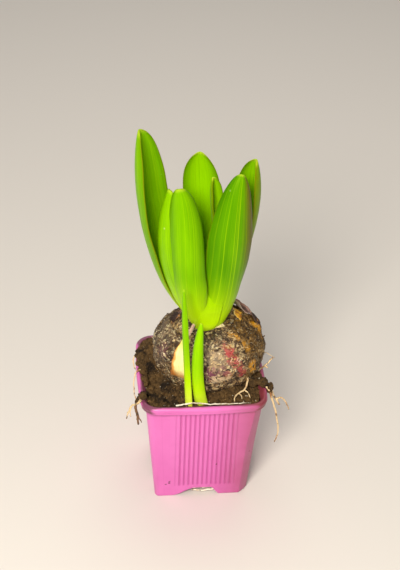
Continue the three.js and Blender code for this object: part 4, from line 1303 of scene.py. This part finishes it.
def scale_finish():
    """The living scale: cream and a little moist, with a painted green reflection above, torn to orange at
    its edges.
    """
    look = Finish("fleshy_scale", Roughness=0.36, Specular_IOR_Level=0.4)
    up, across = look.kept("up"), look.kept("across")
    where = look.place()
    lines = look.noise(look.vector(across * 16.0, up * 1.2, 3.0), 1.0, 3.0, 0.6)
    ragged = look.noise(where, 260.0, 4.0, 0.7)
    colour = look.mix(linear(246, 232, 160), linear(228, 200, 118), lines.smooth(0.45, 0.7) * 0.6)
    # its upper part takes a painted reflection of the green leaves
    colour = look.mix(colour, linear(206, 216, 84), (up + (ragged - 0.5) * 0.2).smooth(0.6, 0.95) * 0.8)
    # torn to orange, then brown, along its left edge
    torn = 0.3 - across + (ragged - 0.5) * 0.4 + (0.4 - up) * 0.4
    colour = look.mix(colour, linear(226, 150, 50), torn.smooth(-0.02, 0.1) * 0.85)
    colour = look.mix(colour, linear(132, 72, 28), torn.smooth(0.1, 0.26) * 0.8)
    foot = 1.0 - (up + (ragged - 0.5) * 0.3).smooth(0.04, 0.2)
    colour = look.mix(colour, linear(176, 110, 52), foot * 0.8)
    look.set("Base Color", colour)
    look.set("Roughness", 0.3 + ragged * 0.3)
    look.bump(lines + ragged * 0.4, 0.0003, 0.5)
    return look.material


# Dry papers: the colours outside, inside, along the torn rim and of the flecks.
PAPERS = {
    "dark_skin": ((58, 40, 32), (206, 170, 160), (150, 112, 84), (190, 130, 60)),
    "pale_skin": ((214, 180, 170), (236, 214, 206), (238, 226, 206), (150, 96, 92)),
    "orange_skin": ((226, 168, 34), (244, 206, 110), (250, 230, 160), (150, 84, 32)),
    "neck_membrane": ((232, 214, 160), (236, 220, 180), (250, 240, 200), (180, 120, 100)),
    "torn_strip": ((232, 190, 170), (250, 226, 196), (250, 240, 214), (120, 60, 40)),
}
PAPER = {name: paper_finish(name, *(linear(*tint) for tint in tints)) for name, tints in PAPERS.items()}
# patches on the flap; the silvery ones are partly pale skin and partly a painted sheen where the light falls
FLAP_PATCHES = [
    (-176, 46, 9.0, SILVER_AND_SHEEN, 0.4), (-158, 34, 8.0, SILVER_AND_SHEEN, 0.15), (-152, 8, 6.0, SILVER_AND_SHEEN, 0.1),
    (-186, 40, 8.0, BARK, 0.5), (-150, 20, 5.0, WINE, 0.4),
]
OUTER_SKIN = bulb_finish(
    "outer_skin", linear(72, 52, 33), linear(130, 102, 66), linear(206, 190, 148), FLAP_PATCHES, 0.42,
)
# Each lies between two azimuths and two latitudes. It stands off the bulb, curls off it towards its top,
# lifts at its right-hand side, narrows upwards and leans; sizes in mm, the edges ragged by some degrees.
SKINS = {
    "tunic_flap_left": dict(
        azimuth=(-236, -134), latitude=(-42, 50), thickness=0.8, stand=0.7, lift=0.9, slant=-2,
        ragged=3.2, rough=1.0, seed=2, rows=150, columns=300, look=OUTER_SKIN, slot="outer_skin",
    ),
    "fleshy_scale": dict(
        azimuth=(-137, -118), latitude=(-15, 48), thickness=1.0, stand=1.4, narrow=4,
        ragged=1.6, rough=0.4, seed=2, rows=90, columns=120, look=scale_finish(), slot="fleshy_scale",
    ),
    "tunic_shard_right": dict(
        azimuth=(-4, 52), latitude=(28, 52), thickness=0.4, stand=0.6, curl=3.4, narrow=6,
        ragged=4.5, rough=0.7, seed=1, rows=80, columns=120, look=PAPER["dark_skin"], slot="dark_skin",
    ),
    "tunic_shard_pale": dict(
        azimuth=(16, 50), latitude=(47, 64), thickness=0.4, stand=0.8, curl=4.6, narrow=3,
        ragged=3.0, rough=0.4, seed=6, rows=60, columns=90, look=PAPER["pale_skin"], slot="pale_skin",
    ),
    "tunic_flake_orange": dict(
        azimuth=(-18, 20), latitude=(60, 70), thickness=0.4, stand=0.7, curl=1.4, narrow=5,
        ragged=4.5, rough=0.4, seed=11, rows=60, columns=80, look=PAPER["orange_skin"], slot="orange_skin",
    ),
    "neck_membrane": dict(
        azimuth=(-112, -58), latitude=(66.6, 70), thickness=0.35, stand=0.1, curl=0.6, narrow=2,
        ragged=0.6, rough=0.2, seed=3, rows=30, columns=160, look=PAPER["neck_membrane"], slot="pale_skin",
    ),
    "torn_strip": dict(
        azimuth=(-137, -127), latitude=(50, 69), thickness=0.35, stand=0.7, curl=1.4, narrow=2,
        ragged=2.4, rough=0.3, seed=5, rows=60, columns=60, look=PAPER["torn_strip"], slot="pale_skin",
    ),
    "tunic_shard_left": dict(
        azimuth=(-216, -172), latitude=(50, 67), thickness=0.45, stand=0.8, curl=3.4, narrow=8,
        ragged=8.0, rough=0.5, seed=7, rows=60, columns=90, look=PAPER["dark_skin"], slot="dark_skin",
    ),
}

skin_maker = skin_tree()
for name, skin in SKINS.items():
    values = {
        "Rows": skin["rows"], "Columns": skin["columns"],
        "Azimuth from": float(skin["azimuth"][0]), "Azimuth to": float(skin["azimuth"][1]),
        "Latitude from": float(skin["latitude"][0]), "Latitude to": float(skin["latitude"][1]),
        "Thickness": skin["thickness"], "Stand": skin["stand"], "Curl": skin.get("curl", 0.0),
        "Lift right": skin.get("lift", 0.0), "Slant": float(skin.get("slant", 0)),
        "Narrow": float(skin.get("narrow", 0)), "Ragged": skin["ragged"],
        "Roughness": skin["rough"], "Seed": float(skin["seed"]),
    }
    torn_piece = skin_maker.grow(name + "_skin", values, skin["look"])
    # the torn strip has no node of its own in the frame
    finished(torn_piece, skin["slot"], *([name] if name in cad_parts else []))

# %% [markdown]
# ### Shreds
#
# Everywhere the dry layers fray into small shreds, which catch the light and roughen the surface. Each is a
# thin closed sliver of a few faces, bent a little. They are scattered over the bulb and its flap, laid along
# the surface and tilted up at one end, all by one tree with a fixed seed.

# %% Scatter the shreds
def shred_tree():
    inputs = {"Density": "number", "Smallest": "number", "Largest": "number", "Lift": "number"}
    net = ShapeTree("shreds", {**inputs, "Above": "number", "Seed": "whole"})
    given = net.given
    ball = net.put("GeometryNodeMeshIcoSphere", {}, {"Radius": 1.0, "Subdivisions": 1})
    where, spot = net.spot(), net.spot()
    bent = where * (1.0, 0.32, 0.05) + net.vector(0.0, 0.0, where.part("X") * where.part("X") * 0.25)
    shred = net.moved(ball, Position=bent)
    points = net.scattered(spot.part("Z") > given("Above"))
    turn = net.random((-0.2, -1.0, 0.0), (0.2, 0.0, 6.283), given("Seed"))
    turn = net.vector(turn.part("X"), turn.part("Y") * given("Lift"), turn.part("Z"))
    upright = points.also("Rotation")
    laid = net.put("FunctionNodeRotateRotation", {"rotation_space": "LOCAL"}, {0: upright, 1: turn})
    size = net.random(0.0, 1.0, given("Seed") + 3.0)
    size = given("Smallest").toward(given("Largest"), size * size * size)
    shape = net.put("GeometryNodeInstanceOnPoints", {},
                    {"Points": points, "Instance": shred, "Rotation": laid, "Scale": size})
    net.finish(shape)
    return net


def shred_finish(name, *tints):
    """Each shred is of one of a few colours, by where it lies."""
    look = Finish(name, Roughness=0.55, Specular_IOR_Level=0.3)
    where = look.place()
    chance = look.cells(where, 420.0).also("Color").part("X")
    colour = tints[0]
    for number, tint in enumerate(tints[1:], 1):
        colour = look.mix(colour, tint, chance > number / len(tints))
    # on the bulb's right-hand cheek they are olive brown, as the skin under them is
    colour = look.mix(colour, linear(104, 74, 20), on_right(where) * 0.72)
    grain = look.noise(where, 900.0, 3.0)
    colour = look.mix(colour, (0.02, 0.013, 0.008), grain.smooth(0.5, 0.66) * 0.6)
    look.set("Base Color", colour)
    look.set("Roughness", 0.45 + grain * 0.3)
    look.bump(grain, 0.0003, 0.5)
    return look.material


SHRED_TINTS = linear(70, 50, 34), linear(104, 78, 50), linear(156, 126, 86), linear(228, 202, 152)
SHREDS = shred_finish("skin_shreds", *SHRED_TINTS)
shred_maker = shred_tree()
flap = bpy.data.objects["tunic_flap_left_skin"]
for name, field, count, seed in (("bulb_shreds", globe, 150000, 3), ("flap_shreds", flap, 110000, 8)):
    values = {"Density": float(count), "Smallest": 0.35 * MM, "Largest": 2.2 * MM, "Lift": 0.6,
              "Above": 0.066, "Seed": seed}
    finished(shred_maker.grow(name, values, SHREDS, base=field.data.copy()), "bulb_skin")

# %% [markdown]
# ## The compost
#
# Dark, crumbly potting compost fills the pot to just under its lip. It is banked up against the bulb, heaped
# in the back left corner where it has spilled over the lip, and sunk into a crevice on the bulb's left. The
# bed is one closed block whose top is a fine grid: a formula gives the lie of the land, and two sizes of
# cells and a noise break it into crumbs. Loose crumbs, fibres and pale grit are then scattered over it, each
# a few faces only, because there are hundreds of them.

# %% The bed of compost
SOIL = dict(level=67.6, collar=4.4, heap=10.0, heap_at=(-26.0, 15.0), heap_spread=8.0, half=31.2, skirt=14.0)


def land(net, x, y):
    """The height of the compost, in mm, at a place given in mm from the pot's axis."""
    cx, cy, _ = BULB["centre"]
    dx, dy = (x - cx) / 24.0, (y - cy) / 21.0
    beyond = (net.vector(dx, dy, 0.0).length() - 1.0).most(0.0) * 22.0
    hx, hy = SOIL["heap_at"]
    off_heap = net.vector(x - hx, y - hy, 0.0).length() / (SOIL["heap_spread"] * math.sqrt(2))
    heap = off_heap.bell() * SOIL["heap"]
    crevice = (beyond / 2.4).bell() * (dx * -1.0).smooth(0.2, 0.8) * dy.smooth(-0.6, 0.1) * -4.5
    rolling = waves(x * 0.33 + y * 0.21, 2.0) + waves(y * 0.37 - x * 0.17, 5.0)
    return (beyond / 6.0).bell() * SOIL["collar"] + heap + crevice + rolling * 0.7 + SOIL["level"]


def crumbly(net, where, seed=0.0):
    """The broken surface of compost, in mm, where `where` is in mm."""
    shifted = where + net.vector(seed, seed, seed)

    def rounded_cells(scale, smoothness):
        values = {"Vector": shifted, "Scale": scale, "Smoothness": smoothness}
        return net.put("ShaderNodeTexVoronoi", {"feature": "SMOOTH_F1"}, values, "Distance")

    clods, crumbs = rounded_cells(0.24, 0.25), rounded_cells(0.62, 0.3)
    fine = net.noise(shifted, 0.9, 4.0, 0.7)
    return (0.5 - clods) * 2.4 + (0.5 - crumbs) * 1.3 + (fine - 0.5) * 1.5


def bed_tree():
    inputs = {"Lines": "whole", "Half": "number", "Skirt": "number", "Crumbs": "number"}
    net = ShapeTree("compost_bed", inputs)
    given = net.given
    grid, spot = net.grid(2.0, given("Lines"), given("Lines")), net.spot()
    across, deep = spot.part("X"), spot.part("Y")
    out = abs(across).most(abs(deep))
    # the outer tenth of the grid hangs down inside the wall
    drop = out.smooth(0.93, 1.0)
    scale = 1.0 / out.most(0.93)
    ux, uy = across * scale, deep * scale
    # a square with round corners: how much nearer its edge is than a plain square's
    rounded = ((abs(ux) ** 9.0 + abs(uy) ** 9.0).most(0.0001)) ** (1.0 / 9.0)
    corner = 1.0 / (rounded / abs(ux).most(abs(uy)).most(0.001)).most(0.5)
    # what hangs leans inwards, as the wall does
    half = given("Half") * (1.0 - drop * 0.07)
    x, y = ux * corner * half, uy * corner * half
    height = land(net, x, y)
    broken = crumbly(net, net.vector(x, y, height)) * given("Crumbs") * (1.0 - out.smooth(0.9, 0.93) * 0.5)
    z = height + broken - drop * given("Skirt")
    place = net.vector(x, y, z) * MM + tuple(AXIS)
    net.finish(net.smoothed(net.moved(grid, Position=place)))
    return net


def compost_finish():
    look = Finish("compost", Roughness=0.9, Specular_IOR_Level=0.25)
    where = look.place()
    crumbs = look.noise(where, 420.0, 5.0, 0.75)
    clods = look.noise(where, 95.0, 4.0, 0.65)
    fibres = look.noise(where * (1.0, 1.0, 3.0), 900.0, 4.0, 0.8)
    colour = look.mix(linear(46, 34, 18), linear(110, 83, 47), (crumbs - 0.3) * 2.2 + (clods - 0.5) * 1.4)
    colour = look.mix(colour, linear(16, 10, 7), clods.smooth(0.5, 0.36) * 0.8)
    colour = look.mix(colour, linear(150, 118, 76), fibres.smooth(0.62, 0.7) * 0.55)
    grit = look.cells(where, 520.0).smooth(0.3, 0.16) * look.noise(where, 260.0, 1.0).smooth(0.64, 0.68)
    colour = look.mix(colour, linear(206, 196, 172), grit * 0.8)
    look.set("Base Color", colour)
    look.set("Roughness", 0.95 - crumbs * 0.25)
    look.bump(crumbs * 0.8 + fibres * 0.6, 0.0008, 0.8)
    return look.material


COMPOST = compost_finish()


def closed(piece):
    """Fills the open edge of a mesh with one face, so that the piece is a closed body."""
    shape = bmesh.new()
    shape.from_mesh(piece.data)
    edge = [e for e in shape.edges if e.is_boundary]
    made = bmesh.ops.edgeloop_fill(shape, edges=edge)["faces"]
    bmesh.ops.triangulate(shape, faces=made)
    bmesh.ops.recalc_face_normals(shape, faces=shape.faces)
    shape.to_mesh(piece.data)
    shape.free()
    return piece


values = {"Lines": 232, "Half": SOIL["half"], "Skirt": SOIL["skirt"], "Crumbs": 0.85}
bed = bed_tree().grow("compost_bed", values, COMPOST)
finished(closed(bed), "compost", "soil")


# %% Scatter crumbs, fibres and grit
def scatter_tree(name, bit, settle):
    """Scatters small bits over a surface; bit(net) makes one, settle is how it is turned."""
    inputs = {"Density": "number", "Smallest": "number", "Largest": "number", "Detail": "whole"}
    net = ShapeTree(name, {**inputs, "Above": "number", "Seed": "whole"})
    given = net.given
    normal, spot = net.put("GeometryNodeInputNormal"), net.spot()
    open_ground = (normal.part("Z") > 0.15) * (spot.part("Z") > given("Above"))
    points = net.scattered(open_ground)
    turned = net.random((0.0, 0.0, 0.0), settle, given("Seed"))
    size = net.random(0.0, 1.0, given("Seed") + 3.0)
    size = given("Smallest").toward(given("Largest"), size * size * size)
    shape = net.put(
        "GeometryNodeInstanceOnPoints", {},
        {"Points": points, "Instance": bit(net), "Rotation": turned, "Scale": size},
    )
    net.finish(shape)
    return net


def crumb(net):
    """A dented ball, a little flattened."""
    ball = net.put("GeometryNodeMeshIcoSphere", {}, {"Radius": 1.0, "Subdivisions": net.given("Detail")})
    where = net.spot()
    dent = net.noise(where, 1.3, 3.0, 0.7)
    return net.moved(ball, Position=where * (0.45 + dent * 1.1) * (1.0, 0.8, 0.7))


def fibre(net):
    """A thin bent straw."""
    bow = {"Start": (-1.0, 0.0, 0.0), "Middle": (0.0, 0.5, 0.25), "End": (1.0, 0.0, 0.05)}
    line = net.put("GeometryNodeCurveQuadraticBezier", {}, {"Resolution": 6, **bow})
    ring = net.put("GeometryNodeCurvePrimitiveCircle", {}, {"Resolution": 3, "Radius": 0.07})
    return net.put("GeometryNodeCurveToMesh", {}, {"Curve": line, "Profile Curve": ring, "Fill Caps": True})


def plain_finish(name, dark, pale, scale, rough):
    look = Finish(name, Roughness=rough, Specular_IOR_Level=0.3)
    where = look.place()
    mottle = look.noise(where, scale, 4.0, 0.7)
    look.set("Base Color", look.mix(dark, pale, mottle.smooth(0.35, 0.65)))
    look.set("Roughness", rough + (mottle - 0.5) * 0.2)
    look.bump(mottle, 0.0003, 0.5)
    return look.material


ALL_WAYS, FLAT = (6.283, 6.283, 6.283), (0.5, 0.5, 6.283)
crumb_maker = scatter_tree("crumbs", crumb, ALL_WAYS)
fibre_maker = scatter_tree("fibres", fibre, FLAT)
PALE_FIBRE = plain_finish("pale_fibre", linear(110, 78, 44), linear(196, 160, 104), 300.0, 0.8)
GRIT = plain_finish("grit", linear(150, 140, 122), linear(236, 230, 214), 700.0, 0.6)


def scattered(name, maker, field, look, density, sizes, detail, seed, above=0.055):
    values = {"Density": float(density), "Smallest": sizes[0] * MM, "Largest": sizes[1] * MM,
              "Detail": detail, "Above": above, "Seed": seed}
    piece = maker.grow(name, values, look, base=field.data.copy())
    piece.data.shade_smooth()
    return piece


finished(scattered("compost_crumbs", crumb_maker, bed, COMPOST, 420000, (0.25, 1.5), 2, 4), "compost")
finished(scattered("compost_fibres", fibre_maker, bed, PALE_FIBRE, 40000, (0.5, 2.6), 2, 9), "compost")
finished(scattered("compost_grit", crumb_maker, bed, GRIT, 22000, (0.1, 0.4), 1, 14), "compost")


# %% [markdown]
# ### Spills and clods
#
# Compost has fallen over the lip on the left, and knots of it hang on the roots at both sides. Each is a few
# lumps with a broken surface. One tree makes them from a handful of points, each of which carries the size
# of its lump.

# %% Lumps
def lump_tree():
    net = ShapeTree("lumps", {"Detail": "whole", "Crumbs": "number", "Seed": "number"})
    given = net.given
    ball = net.put("GeometryNodeMeshIcoSphere", {}, {"Radius": 1.0, "Subdivisions": given("Detail")})
    size = net.kept("size", "FLOAT_VECTOR")
    points = net.put("GeometryNodeMeshToPoints", {}, {"Mesh": given("Geometry"), "Radius": 0.001})
    shape = net.put("GeometryNodeInstanceOnPoints", {}, {"Points": points, "Instance": ball, "Scale": size})
    shape = net.put("GeometryNodeRealizeInstances", {}, {"Geometry": shape})
    out = crumbly(net, net.spot() * 1000.0, given("Seed")) * given("Crumbs") * MM
    normal = net.put("GeometryNodeInputNormal")
    net.finish(net.smoothed(net.moved(shape, Offset=normal * out)))
    return net


def seeds(name, lumps):
    """A mesh of bare points: where each lump is, and how large."""
    mesh = mesh_of(name, [place for place, _ in lumps], [])
    layer = mesh.attributes.new("size", "FLOAT_VECTOR", "POINT")
    layer.data.foreach_set("vector", np.array([size for _, size in lumps], dtype=np.float32).ravel() * MM)
    return mesh


# each lump: its place and its three radii
SPILLS = [
    ((-31.6, 12, 72.0), (4.0, 8.0, 3.2)), ((-31.6, 1, 70.8), (2.6, 5.2, 1.8)),
    ((-27, 20, 72), (5.8, 5.8, 4.8)), ((-33.4, 7, 71.2), (2.4, 3.4, 2.2)),
    ((30.8, -9, 70.4), (2.8, 4.8, 1.9)), ((-31.2, -8, 70.0), (1.8, 5.0, 1.4)),
]
CLODS = {
    "clod_right": [
        ((28.5, -14.4, 71.2), (4.2, 3.2, 2.4)), ((33, -16.8, 72.6), (3.3, 3.3, 2.0)),
        ((37, -18.6, 70), (2.0, 2.6, 2.8)),
    ],
    "clod_left": [((-33.4, -24.6, 72.0), (2.4, 2.4, 1.7)), ((-36.4, -25.2, 69.6), (1.5, 1.7, 2.5))],
}
lump_maker = lump_tree()
values = {"Detail": 6, "Crumbs": 0.8, "Seed": 3.0}
spill = lump_maker.grow("compost_spill", values, COMPOST, base=seeds("spills", SPILLS))
finished(spill, "compost")
finished(scattered("compost_spill_crumbs", crumb_maker, spill, COMPOST, 700000, (0.2, 0.8), 2, 6), "compost")
values = {"Detail": 6, "Crumbs": 0.7, "Seed": 8.0}
for name, lumps in CLODS.items():
    clod = lump_maker.grow(name + "_lumps", values, COMPOST, base=seeds(name, lumps))
    finished(clod, "compost", name)
    finished(scattered(name + "_crumbs", crumb_maker, clod, COMPOST, 900000, (0.2, 0.7), 2, 11), "compost")

# %% [markdown]
# ## The roots
#
# Hyacinth roots are pale, wiry and brittle; here some have grown over the lip and hang down outside, some lie
# on the compost, and a few have come through a drain hole and curl behind the arch of the foot. Each is a
# smooth line through a few points, kinked a little, and swept with a ring that thins towards the tip.

# %% The root tree
def root_tree():
    inputs = {"Step": "number", "Sides": "whole", "Kink": "number", "Knobs": "number", "Seed": "number"}
    net = ShapeTree("roots", inputs)
    given = net.given
    line = net.put("GeometryNodeMeshToCurve", {}, {"Mesh": given("Geometry")})
    line = net.put("GeometryNodeCurveSplineType", {"spline_type": "CATMULL_ROM"}, {"Curve": line})
    line = net.put("GeometryNodeSetSplineResolution", {}, {"Geometry": line, "Resolution": 12})
    line = net.put("GeometryNodeResampleCurve", {"mode": "LENGTH"}, {"Curve": line, "Length": given("Step")})
    spot = net.spot()
    along = net.put("GeometryNodeSplineParameter", {}, {}, "Factor")
    values = {"Vector": spot, "W": given("Seed"), "Scale": 330.0, "Detail": 2.0}
    shift = net.put("ShaderNodeTexNoise", {"noise_dimensions": "4D"}, values, "Color")
    kink = (shift - (0.5, 0.5, 0.5)) * (given("Kink") * along.smooth(0.0, 0.1))
    line = net.moved(line, Offset=kink)
    knobs = net.noise(spot, 800.0)
    radius = net.kept("thick") * ((knobs - 0.5) * given("Knobs") + 1.0)
    line = net.put("GeometryNodeSetCurveRadius", {}, {"Curve": line, "Radius": radius})
    line = net.keep(line, along=along)
    ring = net.put("GeometryNodeCurvePrimitiveCircle", {}, {"Resolution": given("Sides"), "Radius": 1.0})
    swept = {"Curve": line, "Profile Curve": ring, "Scale": radius, "Fill Caps": True}
    net.finish(net.smoothed(net.put("GeometryNodeCurveToMesh", {}, swept)))
    return net


def root_finish(name, pale, brown, tip):
    look = Finish(name, Roughness=0.55, Specular_IOR_Level=0.35)
    where, along = look.place(), look.kept("along")
    blotch = look.noise(where, 210.0, 4.0, 0.7)
    fine = look.noise(where, 1200.0, 3.0, 0.7)
    colour = look.mix(pale, brown, (blotch.smooth(0.48, 0.62) + (fine - 0.5) * 0.5).clamped())
    colour = look.mix(colour, tip, along.smooth(0.9, 1.0) * 0.8)
    colour = look.mix(colour, linear(58, 40, 26), look.noise(where, 340.0, 3.0).smooth(0.58, 0.66) * 0.7)
    look.set("Base Color", colour)
    look.set("Roughness", 0.45 + blotch * 0.3)
    look.bump(fine + blotch * 0.5, 0.0003, 0.6)
    return look.material


ROOT = root_finish("root", linear(230, 204, 156), linear(158, 112, 66), linear(112, 78, 48))
PALE_ROOT = root_finish("pale_root", linear(244, 236, 216), linear(206, 188, 156), linear(170, 140, 100))
DARK_ROOT = root_finish("dark_root", linear(122, 88, 56), linear(66, 44, 28), linear(48, 32, 22))


# %% Lay the roots
def strands(name, paths):
    """A mesh of bare lines: each path is a list of points and its two radii, at its start and its tip."""
    points, edges, thick = [], [], []
    for path, (start, tip) in paths:
        first = len(points)
        points += path
        edges += [(first + i, first + i + 1) for i in range(len(path) - 1)]
        thick += [start + (tip - start) * i / (len(path) - 1) for i in range(len(path))]
    mesh = bpy.data.meshes.new(name)
    mesh.from_pydata([tuple(at(p)) for p in points], edges, [])
    layer = mesh.attributes.new("thick", "FLOAT", "POINT")
    layer.data.foreach_set("value", np.array(thick, dtype=np.float32) * MM)
    return mesh


# each strand: its points in mm, then its radius at its start and at its tip
ROOTS = {
    "root_left_loop": [
        ([(-29.5, 19, 70), (-33.2, 17.6, 71.9), (-36.4, 14.8, 69.6), (-36.9, 11.8, 67), (-36.2, 8.4, 65.6)],
         (0.45, 0.3)),
    ],
    "root_left_thin": [
        ([(-30, -0.4, 68.6), (-32.6, -0.8, 71.6), (-35.6, -1.8, 71.9), (-37.2, -4, 69),
          (-37.6, -7.6, 65.4), (-37.4, -11, 63), (-36.4, -19, 62.6)], (0.4, 0.25)),
    ],
    "root_left_pale": [
        ([(-34.8, -27.6, 71.6), (-37.2, -27, 68.6), (-39.7, -24, 65), (-41, -22.9, 61), (-42.4, -22.4, 55)],
         (0.7, 0.3)),
        ([(-39.7, -24, 65), (-40.6, -25.4, 62), (-40.2, -26.4, 59.5)], (0.4, 0.2)),
        ([(-41, -22.9, 61), (-41.8, -21.2, 58), (-41.4, -20.2, 56.4)], (0.25, 0.15)),
    ],
    "root_left_dark": [
        ([(-34.6, -24.6, 71.6), (-36.9, -25.6, 69), (-37.6, -25.4, 65), (-36.6, -24.8, 59),
          (-36, -24.6, 52.6)], (0.95, 0.55)),
        ([(-36.9, -25, 62), (-35.6, -26, 58), (-34.4, -26.2, 55)], (0.5, 0.25)),
    ],
    "root_right_up": [
        ([(28.6, -4.5, 68.4), (31.4, -4.5, 70.8), (34, -4.3, 72.5), (36.8, -4, 75), (40.6, -3, 79)],
         (0.7, 0.35)),
        ([(36.2, -4.1, 74.4), (37.2, -4.8, 73.6), (37.9, -5, 73.4)], (0.6, 0.35)),
    ],
    "root_right_hair": [
        ([(34.6, 3, 78), (37, 0.6, 79.9), (39, -1.6, 79.9), (41.8, -3, 78.6)], (0.2, 0.15)),
    ],
    "root_right_long": [
        ([(33.4, -18.4, 72.6), (36.4, -20.6, 70), (38, -21.6, 65.4), (40.2, -22.6, 58), (41.9, -23, 49.6),
          (42.8, -23.4, 42), (41, -23.6, 35)], (0.7, 0.3)),
    ],
    "root_right_fork": [
        ([(34.6, -16.6, 72.4), (37.6, -17, 69), (39.6, -17.4, 64), (41.3, -18, 61), (43, -19, 58.1)],
         (0.75, 0.5)),
        ([(41.3, -18, 61), (43.2, -17.8, 62), (44.9, -18, 61.8), (46.9, -19, 59.3), (48.7, -20, 55)],
         (0.6, 0.3)),
    ],
    "root_front": [
        ([(25, -14.5, 75.6), (24.4, -17.6, 73.2), (22.8, -20.4, 70.6), (19.4, -22.4, 70.2),
          (16.9, -25.6, 69.6), (16.3, -29, 68.6)], (0.65, 0.3)),
        ([(22.8, -20.4, 70.6), (24.6, -22.8, 70), (25.4, -26, 69)], (0.45, 0.25)),
        ([(19.4, -22.4, 70.2), (20.6, -24.6, 69.6), (20.8, -26.6, 69)], (0.35, 0.2)),
    ],
    "root_on_rim": [
        ([(-15.7, -29.6, 68.6), (-12.3, -30.4, 69.6), (-8, -30.2, 70.4), (-3, -29.9, 70.0), (2, -30.4, 69.5),
          (7, -30.2, 69.2), (12, -29.6, 68.4)], (0.5, 0.35)),
        ([(9.4, -29.8, 68.8), (15, -30.6, 69.4), (21, -30.2, 69.1), (25.4, -29.8, 68.7)], (0.3, 0.2)),
    ],
    "roots_below": [
        ([(14, -14, 9.2), (14, -14.6, 5), (10.5, -20.5, 3.8), (4.4, -23.6, 3.2), (-3.6, -24, 3.3),
          (-9, -22.6, 3.9)], (0.95, 0.55)),
        ([(10.5, -20.5, 3.8), (8, -23.4, 2), (2, -24.6, 1.3), (-5, -23.8, 1.4)], (0.75, 0.4)),
        ([(4.4, -23.6, 3.2), (1, -22.4, 1.6), (-4, -21.6, 1.0)], (0.5, 0.3)),
    ],
}
root_maker = root_tree()
for turn, (name, paths) in enumerate(ROOTS.items()):
    look = {"root_left_dark": DARK_ROOT, "root_on_rim": PALE_ROOT, "roots_below": PALE_ROOT}.get(name, ROOT)
    values = {"Step": 0.45 * MM, "Sides": 8, "Kink": 1.1 * MM, "Knobs": 0.7, "Seed": float(turn)}
    root = root_maker.grow(name + "_strand", values, look, base=strands(name, paths))
    finished(root, "dark_root" if look is DARK_ROOT else "root", name)
